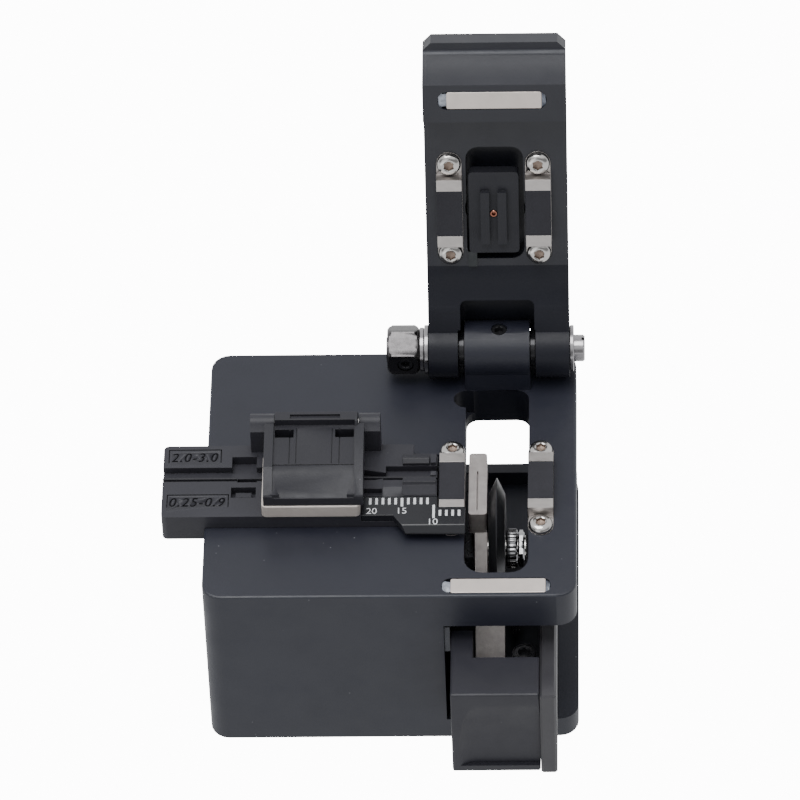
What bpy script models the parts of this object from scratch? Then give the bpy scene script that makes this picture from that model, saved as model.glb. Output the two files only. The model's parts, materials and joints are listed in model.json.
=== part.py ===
"""Precision optical-fibre cleaver, built piece by piece.

Measures are in millimetres and are turned into metres by MM when a mesh is made. The design datum is the
body's front face (Y = 0, the back of the tool is at +Y), its underside (Z = 0) and the middle of its width
(X = 0). An empty carries that datum to the part's own origin, which is the middle of the footprint at the
surface the tool rests on. The lid's pieces are drawn in the closed position and their empty opens them.
"""

import math

import bpy
import bmesh
from mathutils import Euler, Vector

MM = 0.001

# Body: one machined block with an open bay on its right
BODY_W = 58.6
BODY_D = 52.8
BODY_H = 33.4
BODY_LEFT = -BODY_W / 2
BODY_RIGHT = BODY_W / 2
CORNER_R = 3.0
EDGE_BEVEL = 0.35
BASE_TOP = 4.3
DECK_UNDERSIDE = 26.4
BAY_LEFT = 8.4
REAR_LIP_TOP = 7.2
REAR_LIP_T = 2.0
SLOT = (11.65, 21.75, 4.9, 44.3)
SLOT_R = 3.0
SLOT_REAR_R = 2.0
SLOT_REAR_Y = 36.0
RELIEF = (9.74, 14.0, 40.6, 44.3)
RELIEF_R = 1.8
MAT_OUT = 0.8
MAT_T = 1.5
MAT_INSET = 3.0
GAP = 0.05

# Fibre line, where the four pads grip the glass
FIBRE_Y = 22.8
PAD_Z = 35.4
CLAMP_X = (9.66, 23.67)
CLAMP_W = 4.0
CLAMP_BLOCK = 12.0
CLAMP_PAD = 8.0
CLAMP_SEAT = 20.0
CLAMP_TAB_T = 0.8
CLAMP_SCREW_REACH = 8.0
SCREW_HEAD_R = 1.93
SCREW_HEAD_H = 1.05
SCREW_SOCKET_R = 0.62
SCREW_SHANK_R = 0.8
SCREW_HOLE_R = 0.9
SCREW_SHANK_L = 3.0

# Magnets that hold the lid down
MAGNET_X = (9.6, 24.5)
MAGNET_D = 3.0
MAGNET_T = 1.8
MAGNET_SLOT_X = (8.2, 25.3)
MAGNET_SLOT_D = 3.1
DECK_MAGNET_Y = 2.2
LID_MAGNET_Y = 1.83

# Lid and its hinge
HINGE_Y = 48.84
HINGE_Z = 38.29
KNUCKLE_R = 4.6
PIN_R = 1.95
PIN_BORE_R = 2.03
LID_OPEN_DEG = 106.5
LID_X = (5.84, 28.28)
LID_INNER_Z = 37.45
LID_OUTER_Z = HINGE_Z + KNUCKLE_R
LID_PAD_Z = PAD_Z + 0.06
NOSE_Z = 33.82
NOSE_BACK_Y = 5.6
NOSE_FRONT_Y = -0.9
TIP_Y = -5.35
TIP_INNER_Z = 39.7
LIP_Y = -3.9
TROUGH_FRONT_Y = 33.2
TROUGH_BACK_Y = 40.97
TROUGH_SAG = 0.52
ARM_FACE_Z = 36.2
TIP_CHAMFER = 1.3
LEFT_KNUCKLE_X = (5.84, 10.51)
MID_KNUCKLE_X = (11.56, 21.92)
RIGHT_KNUCKLE_X = (22.90, 28.28)
KNUCKLE_POCKET = (10.95, 22.75, 39.2)
KNUCKLE_POCKET_TOP_Z = 41.3
KNUCKLE_CLEARANCE_R = 4.72
KNUCKLE_SIDE_GAP = 0.1
WASHER_CLEARANCE_R = 3.0
RECESS = (12.3, 21.4, 11.9, 31.9)
RECESS_TOP_Z = 41.2
RECESS_BORE_R = 4.76
STRIP_X = (12.5, 13.85)
STRIP_BEND_Y = 30.7
STRIP_T = 0.25
ANVIL = (12.7, 20.6, 16.0, 30.4)
ANVIL_RIDGES_X = ((14.55, 15.95), (17.25, 18.65))
ANVIL_RIDGE_Y = (19.2, 28.4)
ANVIL_FACE_Z = 36.6
ANVIL_RIDGE_Z = 35.65
ANVIL_BACK_Z = 38.6
ANVIL_MID_X = 16.6
ANVIL_SCREW_R = 0.6
ANVIL_SCREW_Y = FIBRE_Y + 0.6
HEX_NUT_AF = 7.0
HEX_NUT_X = (-0.82, 4.30)
WASHERS = (("washer_left_outer", 3.5, 4.34, 5.05), ("washer_left_inner", 3.9, 5.09, 5.80),
           ("washer_knuckle_left", 2.9, 10.55, 11.52), ("washer_knuckle_right", 2.9, 21.96, 22.86),
           ("washer_right_outer", 3.7, 28.32, 28.97))

# Fibre holder in its channel across the deck
HOLDER = (-36.0, 7.35, 14.9, 30.25)
HOLDER_TOP = 35.9
HOLDER_FLOOR = 30.85
CHANNEL_FLOOR = 30.8
CHANNEL_Y = (14.8, 30.35)
CHANNEL_END_X = 7.5
GROOVE_Y = (23.3, 25.5)
GROOVE_DEPTH = 1.2
THIN_GROOVE_Y = (22.55, 23.0)
THIN_GROOVE_DEPTH = 0.5
FLAP_PLATE = (-20.1, -4.6, 14.6, 25.9)
FLAP_PLATE_Z = (36.0, 38.4)
FLAP_X = (-19.75, -4.05)
FLAP_FRONT_Y = 14.85
FLAP_BOTTOM_Z = 38.45
FLAP_RAIL_W = 1.45
FLAP_HINGE_Y = 30.9
FLAP_HINGE_Z = 40.3
FLAP_BARREL_R = 1.65
FLAP_BARREL_X = (-18.15, -5.1)
FLAP_PIN_R = 0.7
FLAP_BORE_R = 0.77
FLAP_PAD = (-17.0, -7.0, 23.45, 25.35)
FLAP_PAD_Z = (35.45, 37.2)
EARS_X = ((-22.15, -18.3), (-4.95, -1.6))
EAR_FRONT_Y = 28.8
EAR_R = 1.55
RAISED_ON_HOLDER = (("rear_boss", (-25.1, -21.2, 27.6, 28.1), 0.2),
                    ("front_bump", (-24.4, -21.9, 19.6, 20.6), -0.6),
                    ("rear_peg", (6.3, 7.16, 25.6, 27.5), 0.7),
                    ("front_peg", (6.33, 7.19, 23.3, 24.2), 0.25))
SUNK_IN_HOLDER = (("rear_pocket", (-25.1, -21.2, 25.3, 27.6), 1.5),
                  ("middle_pocket", (-24.2, -21.1, 22.3, 24.1), 1.9),
                  ("front_pocket", (-25.1, -21.2, 19.0, 21.2), 1.5),
                  ("funnel_pocket", (-4.6, -1.3, 19.1, 20.65), 1.0),
                  ("rear_step", (3.6, 8.0, 27.6, 31.0), HOLDER_TOP - BODY_H - 0.3))
REAR_JAW = ((-4.5, 24.8), (-0.75, 24.07), (-0.75, 25.7), (-4.5, 25.7))
FRONT_JAW = ((-4.5, 20.65), (-1.17, 20.65), (-1.17, 22.85), (-4.5, 21.95))
DISHED_X = (-1.2, 1.9)
FLAP_WINDOWS_X = (-18.1, -15.15, -8.6, -5.65)
FLAP_LINES_X = (-15.73, -14.66, -9.04, -7.87)
SCALE_Z = (34.6, 35.9)
SCALE_CHAMFER = (12.9, 11.85)

# Blade carriage, drawn where it stands pulled forward
CARRIAGE = (9.45, 23.35, -11.4, 34.0)
CARRIAGE_Z = (4.8, 22.9)
HANDLE_BACK_Y = -3.5
CARRIAGE_FLOOR_Z = 10.5
DISH_DEPTH = 0.8
DISH_X = (10.6, 13.4)
DISH_Z = (6.2, 9.5, 20.6)
SIDE_PLATE = (23.4, 26.0, -11.8, 34.0)
BRACKET_X = (13.2, 15.15)
BRACKET_FOOT_X = (13.2, 17.8)
BRACKET_BAR_X = (12.3, 15.15)
BLADE_R = 11.2
BLADE_Y = 18.4
BLADE_Z = 24.25
BLADE_X = (15.4, 18.0)
BLADE_FLAT_R = 8.7
BLADE_BORE_R = 2.07
BLADE_SHAFT_R = 2.0
RAIL_Z = (20.2, 24.2)
RAIL_X = (8.45, 11.4)
RAIL_Y = (1.0, 50.0)
INDEX_WHEEL_Y = 13.5
INDEX_WHEEL_Z = 14.2
INDEX_WHEEL_R = 3.3
INDEX_WHEEL_X = (18.75, 19.95)
HEIGHT_SCREW = (20.9, 0.8)
INDEX_TEETH = 24

ROUND_SIDES = 24
SCREW_SIDES = 12


def material(name, colour, roughness, metallic):
    """A plain Principled material."""
    made = bpy.data.materials.new(name)
    made.use_nodes = True
    shader = made.node_tree.nodes["Principled BSDF"]
    shader.inputs["Base Color"].default_value = (*colour, 1.0)
    shader.inputs["Roughness"].default_value = roughness
    shader.inputs["Metallic"].default_value = metallic
    return made


FINISHES = {
    "anodised": ((0.040, 0.044, 0.056), 0.45, 0.6),
    "black_plastic": ((0.060, 0.061, 0.067), 0.55, 0.0),
    "gloss_black": ((0.030, 0.031, 0.036), 0.15, 0.0),
    "rubber": ((0.045, 0.047, 0.052), 0.85, 0.0),
    "steel": ((0.56, 0.54, 0.52), 0.35, 1.0),
    "black_steel": ((0.050, 0.050, 0.055), 0.30, 0.8),
    "nickel": ((0.60, 0.55, 0.52), 0.40, 1.0),
    "brass": ((0.60, 0.32, 0.20), 0.35, 1.0),
    "carbide": ((0.30, 0.31, 0.33), 0.20, 1.0),
}


def empty(name, at=(0.0, 0.0, 0.0), parent=None, turn_x=0.0):
    """A frame that pieces are placed in; `at` is in millimetres."""
    made = bpy.data.objects.new(name, None)
    made.location = Vector(at) * MM
    made.rotation_euler = Euler((math.radians(turn_x), 0.0, 0.0))
    made.parent = parent
    bpy.context.scene.collection.objects.link(made)
    return made


def node(name, mesh, parent, finish, shift=(0.0, 0.0, 0.0)):
    """Give a mesh its object, its own material and its place under `parent`."""
    bmesh.ops.remove_doubles(mesh, verts=mesh.verts, dist=1e-7)
    bmesh.ops.recalc_face_normals(mesh, faces=mesh.faces)
    data = bpy.data.meshes.new(name)
    mesh.to_mesh(data)
    mesh.free()
    made = bpy.data.objects.new(name, data)
    made.parent = parent
    made.location = Vector(shift) * MM
    if finish:
        data.materials.append(material(name, *FINISHES[finish]))
    bpy.context.scene.collection.objects.link(made)
    return made


def cut(target, *cutters):
    """Take each cutter away from the target."""
    for cutter in cutters:
        cutter.hide_render = True
        cutter.display_type = "WIRE"
        step = target.modifiers.new("cut " + cutter.name, "BOOLEAN")
        step.operation = "DIFFERENCE"
        step.solver = "EXACT"
        step.object = cutter


def join(target, *others):
    """Weld other solids, which are guides here, into the target."""
    for other in others:
        other.hide_render = True
        other.display_type = "WIRE"
        step = target.modifiers.new("join " + other.name, "BOOLEAN")
        step.operation = "UNION"
        step.solver = "EXACT"
        step.object = other


def to_axis(axis, across, up, along):
    """Turn section coordinates and a depth into X, Y, Z for a section looking along `axis`."""
    if axis == "x":
        return Vector((along, across, up)) * MM
    if axis == "y":
        return Vector((across, along, up)) * MM
    return Vector((across, up, along)) * MM


def prism(outline, axis, low, high):
    """Extrude a closed outline along an axis. X takes (y, z), Y takes (x, z) and Z takes (x, y)."""
    mesh = bmesh.new()
    ends = [[mesh.verts.new(to_axis(axis, a, b, depth)) for a, b in outline] for depth in (low, high)]
    mesh.faces.new(ends[0])
    mesh.faces.new(list(reversed(ends[1])))
    for i in range(len(outline)):
        j = (i + 1) % len(outline)
        mesh.faces.new((ends[0][i], ends[1][i], ends[1][j], ends[0][j]))
    return mesh


def arc(centre, radius, start_deg, end_deg, steps=6):
    """Points of an arc, both ends included."""
    points = []
    for i in range(steps + 1):
        angle = math.radians(start_deg + (end_deg - start_deg) * i / steps)
        points.append((centre[0] + radius * math.cos(angle), centre[1] + radius * math.sin(angle)))
    return points


def rounded(x0, x1, y0, y1, radius, steps=5):
    """A rectangle with its four corners rounded."""
    corners = (((x1 - radius, y0 + radius), -90), ((x1 - radius, y1 - radius), 0),
               ((x0 + radius, y1 - radius), 90), ((x0 + radius, y0 + radius), 180))
    points = []
    for centre, start in corners:
        points += arc(centre, radius, start, start + 90, steps)
    return points


def block(x0, x1, y0, y1, z0, z1):
    """A plain box."""
    return prism([(x0, y0), (x1, y0), (x1, y1), (x0, y1)], "z", z0, z1)


def bowed(start, end, sag, steps=8):
    """Points between two ends, sagging to the left of the way from start to end."""
    across, up = end[0] - start[0], end[1] - start[1]
    length = math.hypot(across, up)
    points = []
    for i in range(1, steps):
        t = i / steps
        off = sag * 4 * t * (1 - t)
        points.append((start[0] + across * t - up / length * off, start[1] + up * t + across / length * off))
    return points


def loft(outlines, depths):
    """Skin over closed (y, z) outlines of equal length that stand at X depths."""
    mesh = bmesh.new()
    rings = [[mesh.verts.new(to_axis("x", a, b, depth)) for a, b in outline]
             for outline, depth in zip(outlines, depths)]
    for low, high in zip(rings, rings[1:]):
        for i in range(len(low)):
            j = (i + 1) % len(low)
            mesh.faces.new((low[i], low[j], high[j], high[i]))
    mesh.faces.new(rings[0])
    mesh.faces.new(rings[-1])
    return mesh


def obround(x0, x1, y_middle, width, steps=8):
    """A slot outline with round ends."""
    r = width / 2
    return arc((x1 - r, y_middle), r, -90, 90, steps) + arc((x0 + r, y_middle), r, 90, 270, steps)


def ring_radius(radius, angle, hexagonal):
    """Distance from the middle to a round or a hexagonal outline; a hexagon's radius is its half flat."""
    if not hexagonal:
        return radius
    off = (angle + math.pi / 6) % (math.pi / 3) - math.pi / 6
    return radius / math.cos(off)


def lathe(profile, axis, centre, sides=ROUND_SIDES):
    """Turn (radius, depth) steps about an axis through `centre`. A third item "hex" makes a ring six-sided."""
    mesh = bmesh.new()
    rings = []
    for step in profile:
        radius, depth = step[:2]
        ring = []
        for i in range(sides):
            angle = 2 * math.pi * i / sides
            r = ring_radius(radius, angle, len(step) > 2)
            ring.append(mesh.verts.new(to_axis(axis, centre[0] + r * math.cos(angle),
                                               centre[1] + r * math.sin(angle), depth)))
        rings.append(ring)
    for low, high in zip(rings, rings[1:]):
        for i in range(sides):
            j = (i + 1) % sides
            mesh.faces.new((low[i], low[j], high[j], high[i]))
    mesh.faces.new(rings[0])
    mesh.faces.new(rings[-1])
    return mesh


def tube(axis, centre, outer, inner, low, high, sides=ROUND_SIDES):
    """A ring with a hole through it."""
    mesh = bmesh.new()
    rings = []
    for radius, depth in ((outer, low), (outer, high), (inner, high), (inner, low)):
        rings.append([mesh.verts.new(to_axis(axis, centre[0] + radius * math.cos(2 * math.pi * i / sides),
                                             centre[1] + radius * math.sin(2 * math.pi * i / sides), depth))
                      for i in range(sides)])
    for k in range(4):
        low_ring, high_ring = rings[k], rings[(k + 1) % 4]
        for i in range(sides):
            j = (i + 1) % sides
            mesh.faces.new((low_ring[i], low_ring[j], high_ring[j], high_ring[i]))
    return mesh


def cap_screw_profile(head_r, head_h, shank_r, shank_l, socket_r, seat):
    """Button-head screw standing on `seat`, shank down, with a hexagonal socket in a domed head."""
    dome = [(head_r * math.cos(a), seat + head_h * (0.35 + 0.65 * math.sin(a)))
            for a in (0.0, 0.45, 0.85, 1.15)]
    return ([(shank_r, seat - shank_l), (shank_r, seat), (head_r, seat)] + dome
            + [(socket_r * 1.25, seat + head_h), (socket_r, seat + head_h - 0.05, "hex"),
               (socket_r, seat + head_h * 0.4, "hex")])


def body(datum):
    """The machined block: base plate, left block, slotted deck and the middle hinge knuckle."""
    corner = rounded(BODY_LEFT, BODY_RIGHT, 0.0, BODY_D, CORNER_R)
    main = node("main_body", prism(corner, "z", 0.0, BODY_H), datum, "anodised")
    softened = main.modifiers.new("edge", "BEVEL")
    softened.width = EDGE_BEVEL * MM
    softened.segments = 2
    softened.limit_method = "ANGLE"
    softened.angle_limit = math.radians(60)
    profile = ([(HINGE_Y - KNUCKLE_R, BODY_H - 1.0), (BODY_D - 0.6, BODY_H - 1.0)]
               + arc((HINGE_Y, HINGE_Z), KNUCKLE_R, -20, 200, 18))
    knuckle = node("knuckle_guide", prism(profile, "x", *MID_KNUCKLE_X), datum, None)
    join(main, knuckle)
    beyond = 3.0
    bay = node("bay_cutter", block(BAY_LEFT, BODY_RIGHT + beyond, -beyond, BODY_D - REAR_LIP_T, BASE_TOP,
                                   DECK_UNDERSIDE), datum, None)
    rear = node("bay_rear_cutter", block(BAY_LEFT, BODY_RIGHT + beyond, BODY_D - REAR_LIP_T - 1.0,
                                         BODY_D + beyond, REAR_LIP_TOP, DECK_UNDERSIDE), datum, None)
    slot = node("slot_cutter", prism(rounded(*SLOT, SLOT_R), "z", DECK_UNDERSIDE - 2.0, BODY_H + 3.0),
                datum, None)
    rear_end = rounded(SLOT[0], SLOT[1], SLOT_REAR_Y, SLOT[3], SLOT_REAR_R)
    slot_rear = node("slot_rear_cutter", prism(rear_end, "z", DECK_UNDERSIDE - 2.5, BODY_H + 3.5), datum, None)
    relief = node("relief_cutter", prism(rounded(*RELIEF, RELIEF_R), "z", BODY_H - 5.0, BODY_H + 2.0),
                  datum, None)
    channel = node("channel_cutter", block(BODY_LEFT - beyond, CHANNEL_END_X, *CHANNEL_Y, CHANNEL_FLOOR,
                                           BODY_H + beyond), datum, None)
    magnet = node("magnet_slot_cutter", prism(magnet_slot(DECK_MAGNET_Y), "z",
                                              BODY_H - MAGNET_T - GAP, BODY_H + 1.0), datum, None)
    bore = node("pin_bore_cutter", lathe([(PIN_BORE_R, MID_KNUCKLE_X[0] - 1), (PIN_BORE_R,
                                         MID_KNUCKLE_X[1] + 1)], "x", (HINGE_Y, HINGE_Z)), datum, None)
    mat = node("mat_recess_cutter", prism(mat_outline(0.15), "z", -1.0, MAT_T - MAT_OUT + GAP), datum, None)
    set_screw = node("knuckle_screw_cutter", lathe([(1.3, HINGE_Z + PIN_R + 0.1), (1.3, HINGE_Z + 6.0)], "z",
                                                   (17.1, HINGE_Y), 16), datum, None)
    cut(main, bay, rear, slot, slot_rear, relief, channel, magnet, bore, mat, set_screw)
    for side, x in zip(("left", "right"), CLAMP_X):
        cut(main, *clamp_seat_cutters(side + "_seat", x, datum, BODY_H, -1.0))
    return main


def mat_outline(grow):
    """Outline of the rubber mat, or of its recess when grown."""
    inset = MAT_INSET - grow
    return rounded(BODY_LEFT + inset, BODY_RIGHT - inset, inset, BODY_D - inset, 2.0 + grow)


def clamp_seat_cutters(name, x, parent, face, down):
    """The shallow round-ended seat for a clamp and its two screw holes, cut from `face` in direction `down`."""
    half = CLAMP_W / 2 + GAP
    outline = [(b, a) for a, b in obround(FIBRE_Y - CLAMP_SEAT / 2 - GAP, FIBRE_Y + CLAMP_SEAT / 2 + GAP, x,
                                          2 * half)]
    depths = sorted((face - down * 1.0, face + down * (CLAMP_TAB_T + GAP)))
    cutters = [node(name + "_cutter", prism(outline, "z", *depths), parent, None)]
    for end, y in (("front", FIBRE_Y - CLAMP_SCREW_REACH), ("rear", FIBRE_Y + CLAMP_SCREW_REACH)):
        depths = sorted((face, face + down * (SCREW_SHANK_L + 1.1)))
        hole = lathe([(SCREW_HOLE_R, depths[0]), (SCREW_HOLE_R, depths[1])], "z", (x, y), 16)
        cutters.append(node("{}_{}_hole_cutter".format(name, end), hole, parent, None))
    return cutters


def clamp(prefix, side, x, parent, face, pad_face):
    """Steel clamp frame with a rubber pad let into it, held by two screws, on the face at height `face`."""
    up = 1.0 if pad_face > face else -1.0
    seat = face - up * CLAMP_TAB_T
    w = CLAMP_W / 2
    tab = [(b, a) for a, b in obround(FIBRE_Y - CLAMP_SEAT / 2, FIBRE_Y + CLAMP_SEAT / 2, x, CLAMP_W)]
    tab_top = seat + up * CLAMP_TAB_T
    frame = node("{}_clamp_{}".format(prefix, side), prism(tab, "z", *sorted((seat, tab_top))), parent, "steel")
    raised = node("{}_raised_{}_guide".format(prefix, side),
                  block(x - w + 0.01, x + w - 0.01, FIBRE_Y - CLAMP_BLOCK / 2, FIBRE_Y + CLAMP_BLOCK / 2,
                        *sorted((seat + up * 0.2, pad_face))), parent, None)
    join(frame, raised)
    pad_t = 1.2
    pocket = node("{}_pocket_{}_cutter".format(prefix, side),
                  block(x - w - 1, x + w + 1, FIBRE_Y - CLAMP_PAD / 2 - 0.02, FIBRE_Y + CLAMP_PAD / 2 + 0.02,
                        *sorted((pad_face + up, pad_face - up * (pad_t + 0.02)))), parent, None)
    cut(frame, pocket)
    pad = block(x - w, x + w, FIBRE_Y - CLAMP_PAD / 2, FIBRE_Y + CLAMP_PAD / 2,
                *sorted((pad_face, pad_face - up * pad_t)))
    node("{}_pad_{}".format(prefix, side), pad, parent, "rubber")
    for end, y in (("front", FIBRE_Y - CLAMP_SCREW_REACH), ("rear", FIBRE_Y + CLAMP_SCREW_REACH)):
        label = "{}_{}_{}".format(prefix, side, end)
        hole = lathe([(SCREW_HOLE_R, face - 3), (SCREW_HOLE_R, face + 3)], "z", (x, y), 16)
        cut(frame, node(label + "_tab_cutter", hole, parent, None))
        profile = cap_screw_profile(SCREW_HEAD_R, SCREW_HEAD_H, SCREW_SHANK_R, SCREW_SHANK_L,
                                    SCREW_SOCKET_R, 0.0)
        turned = [(step[0], tab_top + up * (step[1] + 0.02), *step[2:]) for step in profile]
        name = "{}_screw_{}_{}".format(prefix, side, end)
        node(name, lathe(turned, "z", (x, y), SCREW_SIDES), parent, "steel")


def magnet_slot(y):
    """Outline of the milled slot that a bar magnet is glued into, a little longer than the magnet."""
    half = MAGNET_SLOT_D / 2
    return rounded(*MAGNET_SLOT_X, y - half, y + half, half - 0.1)


def magnet(name, y, parent, low, high):
    """A flat bar magnet with slightly rounded corners."""
    half = MAGNET_D / 2
    node(name, prism(rounded(*MAGNET_X, y - half, y + half, 0.3, 2), "z", low, high), parent, "nickel")


def hinge(datum):
    """Pin, adjusting nut, washers and set screws; the nut and the middle knuckle hold the pin still."""
    centre = (HINGE_Y, HINGE_Z)
    pin = lathe([(PIN_R, HEX_NUT_X[0] - 0.15), (PIN_R, 29.0), (2.15, 29.0), (2.15, 30.55), (1.95, 30.71)],
                "x", centre)
    pin = node("hinge_pin", pin, datum, "steel")
    cut(pin, node("pin_slot_cutter", block(30.2, 32.0, HINGE_Y - 0.25, HINGE_Y + 0.25, HINGE_Z - 3,
                                           HINGE_Z + 3), datum, None))
    across = HEX_NUT_AF / 2
    nut = lathe([(across - 0.35, HEX_NUT_X[0], "hex"), (across, HEX_NUT_X[0] + 0.35, "hex"),
                 (across, HEX_NUT_X[1] - 0.35, "hex"), (across - 0.35, HEX_NUT_X[1], "hex")], "x", centre)
    nut = node("hinge_nut", nut, datum, "steel")
    bore = lathe([(PIN_BORE_R, HEX_NUT_X[0] - 1), (PIN_BORE_R, HEX_NUT_X[1] + 1)], "x", centre)
    nut_screw_x = 2.1
    screw_hole = lathe([(1.3, HINGE_Y - 6.0), (1.3, HINGE_Y - PIN_R - 0.15)], "y", (nut_screw_x, HINGE_Z),
                       ROUND_SIDES)
    cut(nut, node("nut_bore_cutter", bore, datum, None), node("nut_screw_cutter", screw_hole, datum, None))
    nut_screw = [(1.2, HINGE_Y - PIN_R - 0.2), (1.2, HINGE_Y - 3.3), (0.6, HINGE_Y - 3.3, "hex"),
                 (0.6, HINGE_Y - 2.7, "hex")]
    node("hinge_nut_screw", lathe(nut_screw, "y", (nut_screw_x, HINGE_Z)), datum, "black_steel")
    top = HINGE_Z + KNUCKLE_R - 0.35
    node("knuckle_screw", lathe([(1.2, HINGE_Z + PIN_R + 0.15), (1.2, top), (0.65, top, "hex"),
                                 (0.65, top - 0.9, "hex")], "z", (17.1, HINGE_Y)), datum, "black_steel")
    for name, radius, low, high in WASHERS:
        node(name, tube("x", centre, radius, PIN_BORE_R, low, high), datum, "steel")


def lid_side():
    """The closed lid seen from its side: lip, finger scoop, nose, flat, trough, arm and knuckle."""
    scoop_top = (LIP_Y + 0.4, TIP_INNER_Z - 0.85)
    arm_end_y = HINGE_Y - math.sqrt(KNUCKLE_R ** 2 - (HINGE_Z - ARM_FACE_Z) ** 2)
    arm_deg = 180 + math.degrees(math.asin((HINGE_Z - ARM_FACE_Z) / KNUCKLE_R))
    trough = ((TROUGH_FRONT_Y, LID_INNER_Z), (TROUGH_BACK_Y, ARM_FACE_Z))
    return ([(TIP_Y, TIP_INNER_Z), (LIP_Y - 0.45, TIP_INNER_Z)]
            + bowed((LIP_Y - 0.45, TIP_INNER_Z), scoop_top, 0.16, 4)
            + [scoop_top] + bowed(scoop_top, (NOSE_FRONT_Y, NOSE_Z), 0.12, 4)
            + [(NOSE_FRONT_Y, NOSE_Z), (NOSE_BACK_Y, NOSE_Z), (NOSE_BACK_Y, LID_INNER_Z), trough[0]]
            + bowed(*trough, TROUGH_SAG) + [trough[1], (arm_end_y, ARM_FACE_Z)]
            + arc((HINGE_Y, HINGE_Z), KNUCKLE_R, arm_deg + 4, 450, 20) + [(TIP_Y, LID_OUTER_Z)])


def lid(frame):
    """The lid plate with its recess, the pocket for the middle knuckle and its two arms, drawn closed."""
    main = node("lid_body", prism(lid_side(), "x", *LID_X), frame, "anodised")
    left, right, front = KNUCKLE_POCKET
    pocket = rounded(left, right, front, HINGE_Y + 12, 1.0)
    recess = rounded(*RECESS, 2.0)
    recess_middle = ((RECESS[0] + RECESS[1]) / 2, FIBRE_Y)
    knuckle_left, knuckle_right = MID_KNUCKLE_X[0] - KNUCKLE_SIDE_GAP, MID_KNUCKLE_X[1] + KNUCKLE_SIDE_GAP
    clearance = lathe([(WASHER_CLEARANCE_R, LEFT_KNUCKLE_X[1]), (WASHER_CLEARANCE_R, knuckle_left),
                       (KNUCKLE_CLEARANCE_R, knuckle_left), (KNUCKLE_CLEARANCE_R, knuckle_right),
                       (WASHER_CLEARANCE_R, knuckle_right), (WASHER_CLEARANCE_R, RIGHT_KNUCKLE_X[0])],
                      "x", (HINGE_Y, HINGE_Z), 48)
    gap = block(LEFT_KNUCKLE_X[1], RIGHT_KNUCKLE_X[0], HINGE_Y - KNUCKLE_R, HINGE_Y + 12, HINGE_Z - 10,
                KNUCKLE_POCKET_TOP_Z)
    bore = lathe([(RECESS_BORE_R, LID_INNER_Z - 1), (RECESS_BORE_R, RECESS_TOP_Z)], "z", recess_middle, 48)
    cutters = [node("lid_pocket_cutter", prism(pocket, "z", HINGE_Z - 10, KNUCKLE_POCKET_TOP_Z), frame, None),
               node("lid_clearance_cutter", clearance, frame, None), node("lid_gap_cutter", gap, frame, None),
               node("recess_bore_cutter", bore, frame, None),
               node("lid_recess_cutter", prism(recess, "z", LID_INNER_Z - 1, RECESS_TOP_Z), frame, None),
               node("lid_bore_cutter", lathe([(PIN_BORE_R, 0.0), (PIN_BORE_R, 35.0)], "x",
                                             (HINGE_Y, HINGE_Z)), frame, None),
               node("lid_magnet_cutter", prism(magnet_slot(LID_MAGNET_Y), "z",
                                               NOSE_Z - 1, NOSE_Z + MAGNET_T + GAP), frame, None)]
    for label, x, turn in (("left", LID_X[0], 1), ("right", LID_X[1], -1)):
        corner = [(x - turn, TIP_Y - 1), (x + turn * TIP_CHAMFER, TIP_Y - 1), (x + turn * TIP_CHAMFER, TIP_Y),
                  (x, TIP_Y + TIP_CHAMFER), (x - turn, TIP_Y + TIP_CHAMFER)]
        cutters.append(node("tip_{}_cutter".format(label), prism(corner, "z", 30.0, 50.0), frame, None))
    cut(main, *cutters)
    for label, x in zip(("left", "right"), CLAMP_X):
        cut(main, *clamp_seat_cutters("lid_{}_seat".format(label), x, frame, LID_INNER_Z, 1.0))


def guide_strip(frame):
    """Thin steel strip bent over the recess's rear left corner, which keeps the anvil from turning."""
    face = LID_INNER_Z - GAP
    bend, end = STRIP_BEND_Y, STRIP_BEND_Y + 2.4
    outline = [(end, face), (end, face - 0.4), (bend - STRIP_T, face - 0.4), (bend - STRIP_T, face + 2.2),
               (bend, face + 2.2), (bend, face)]
    node("anvil_guide_strip", prism(outline, "x", *STRIP_X), frame, "steel")


def anvil(frame):
    """Anvil that presses the fibre down on both sides of the blade, with the screw at its middle."""
    main = node("anvil_block", prism(rounded(*ANVIL, 0.6, 2), "z", ANVIL_FACE_Z, ANVIL_BACK_Z), frame,
                "black_plastic")
    for label, (x0, x1) in zip(("left", "right"), ANVIL_RIDGES_X):
        join(main, node("ridge_{}_guide".format(label), block(x0, x1, *ANVIL_RIDGE_Y, ANVIL_RIDGE_Z,
                                                              ANVIL_FACE_Z + 0.5), frame, None))
    hole = lathe([(ANVIL_SCREW_R + 0.1, ANVIL_RIDGE_Z - 1), (ANVIL_SCREW_R + 0.1, ANVIL_BACK_Z + 1)], "z",
                 (ANVIL_MID_X, ANVIL_SCREW_Y), 16)
    cut(main, node("anvil_hole_cutter", hole, frame, None))
    screw = [(ANVIL_SCREW_R, ANVIL_FACE_Z - 0.05), (ANVIL_SCREW_R, ANVIL_BACK_Z - 0.1)]
    node("anvil_screw", lathe(screw, "z", (ANVIL_MID_X, ANVIL_SCREW_Y), 16), frame, "brass")


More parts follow.
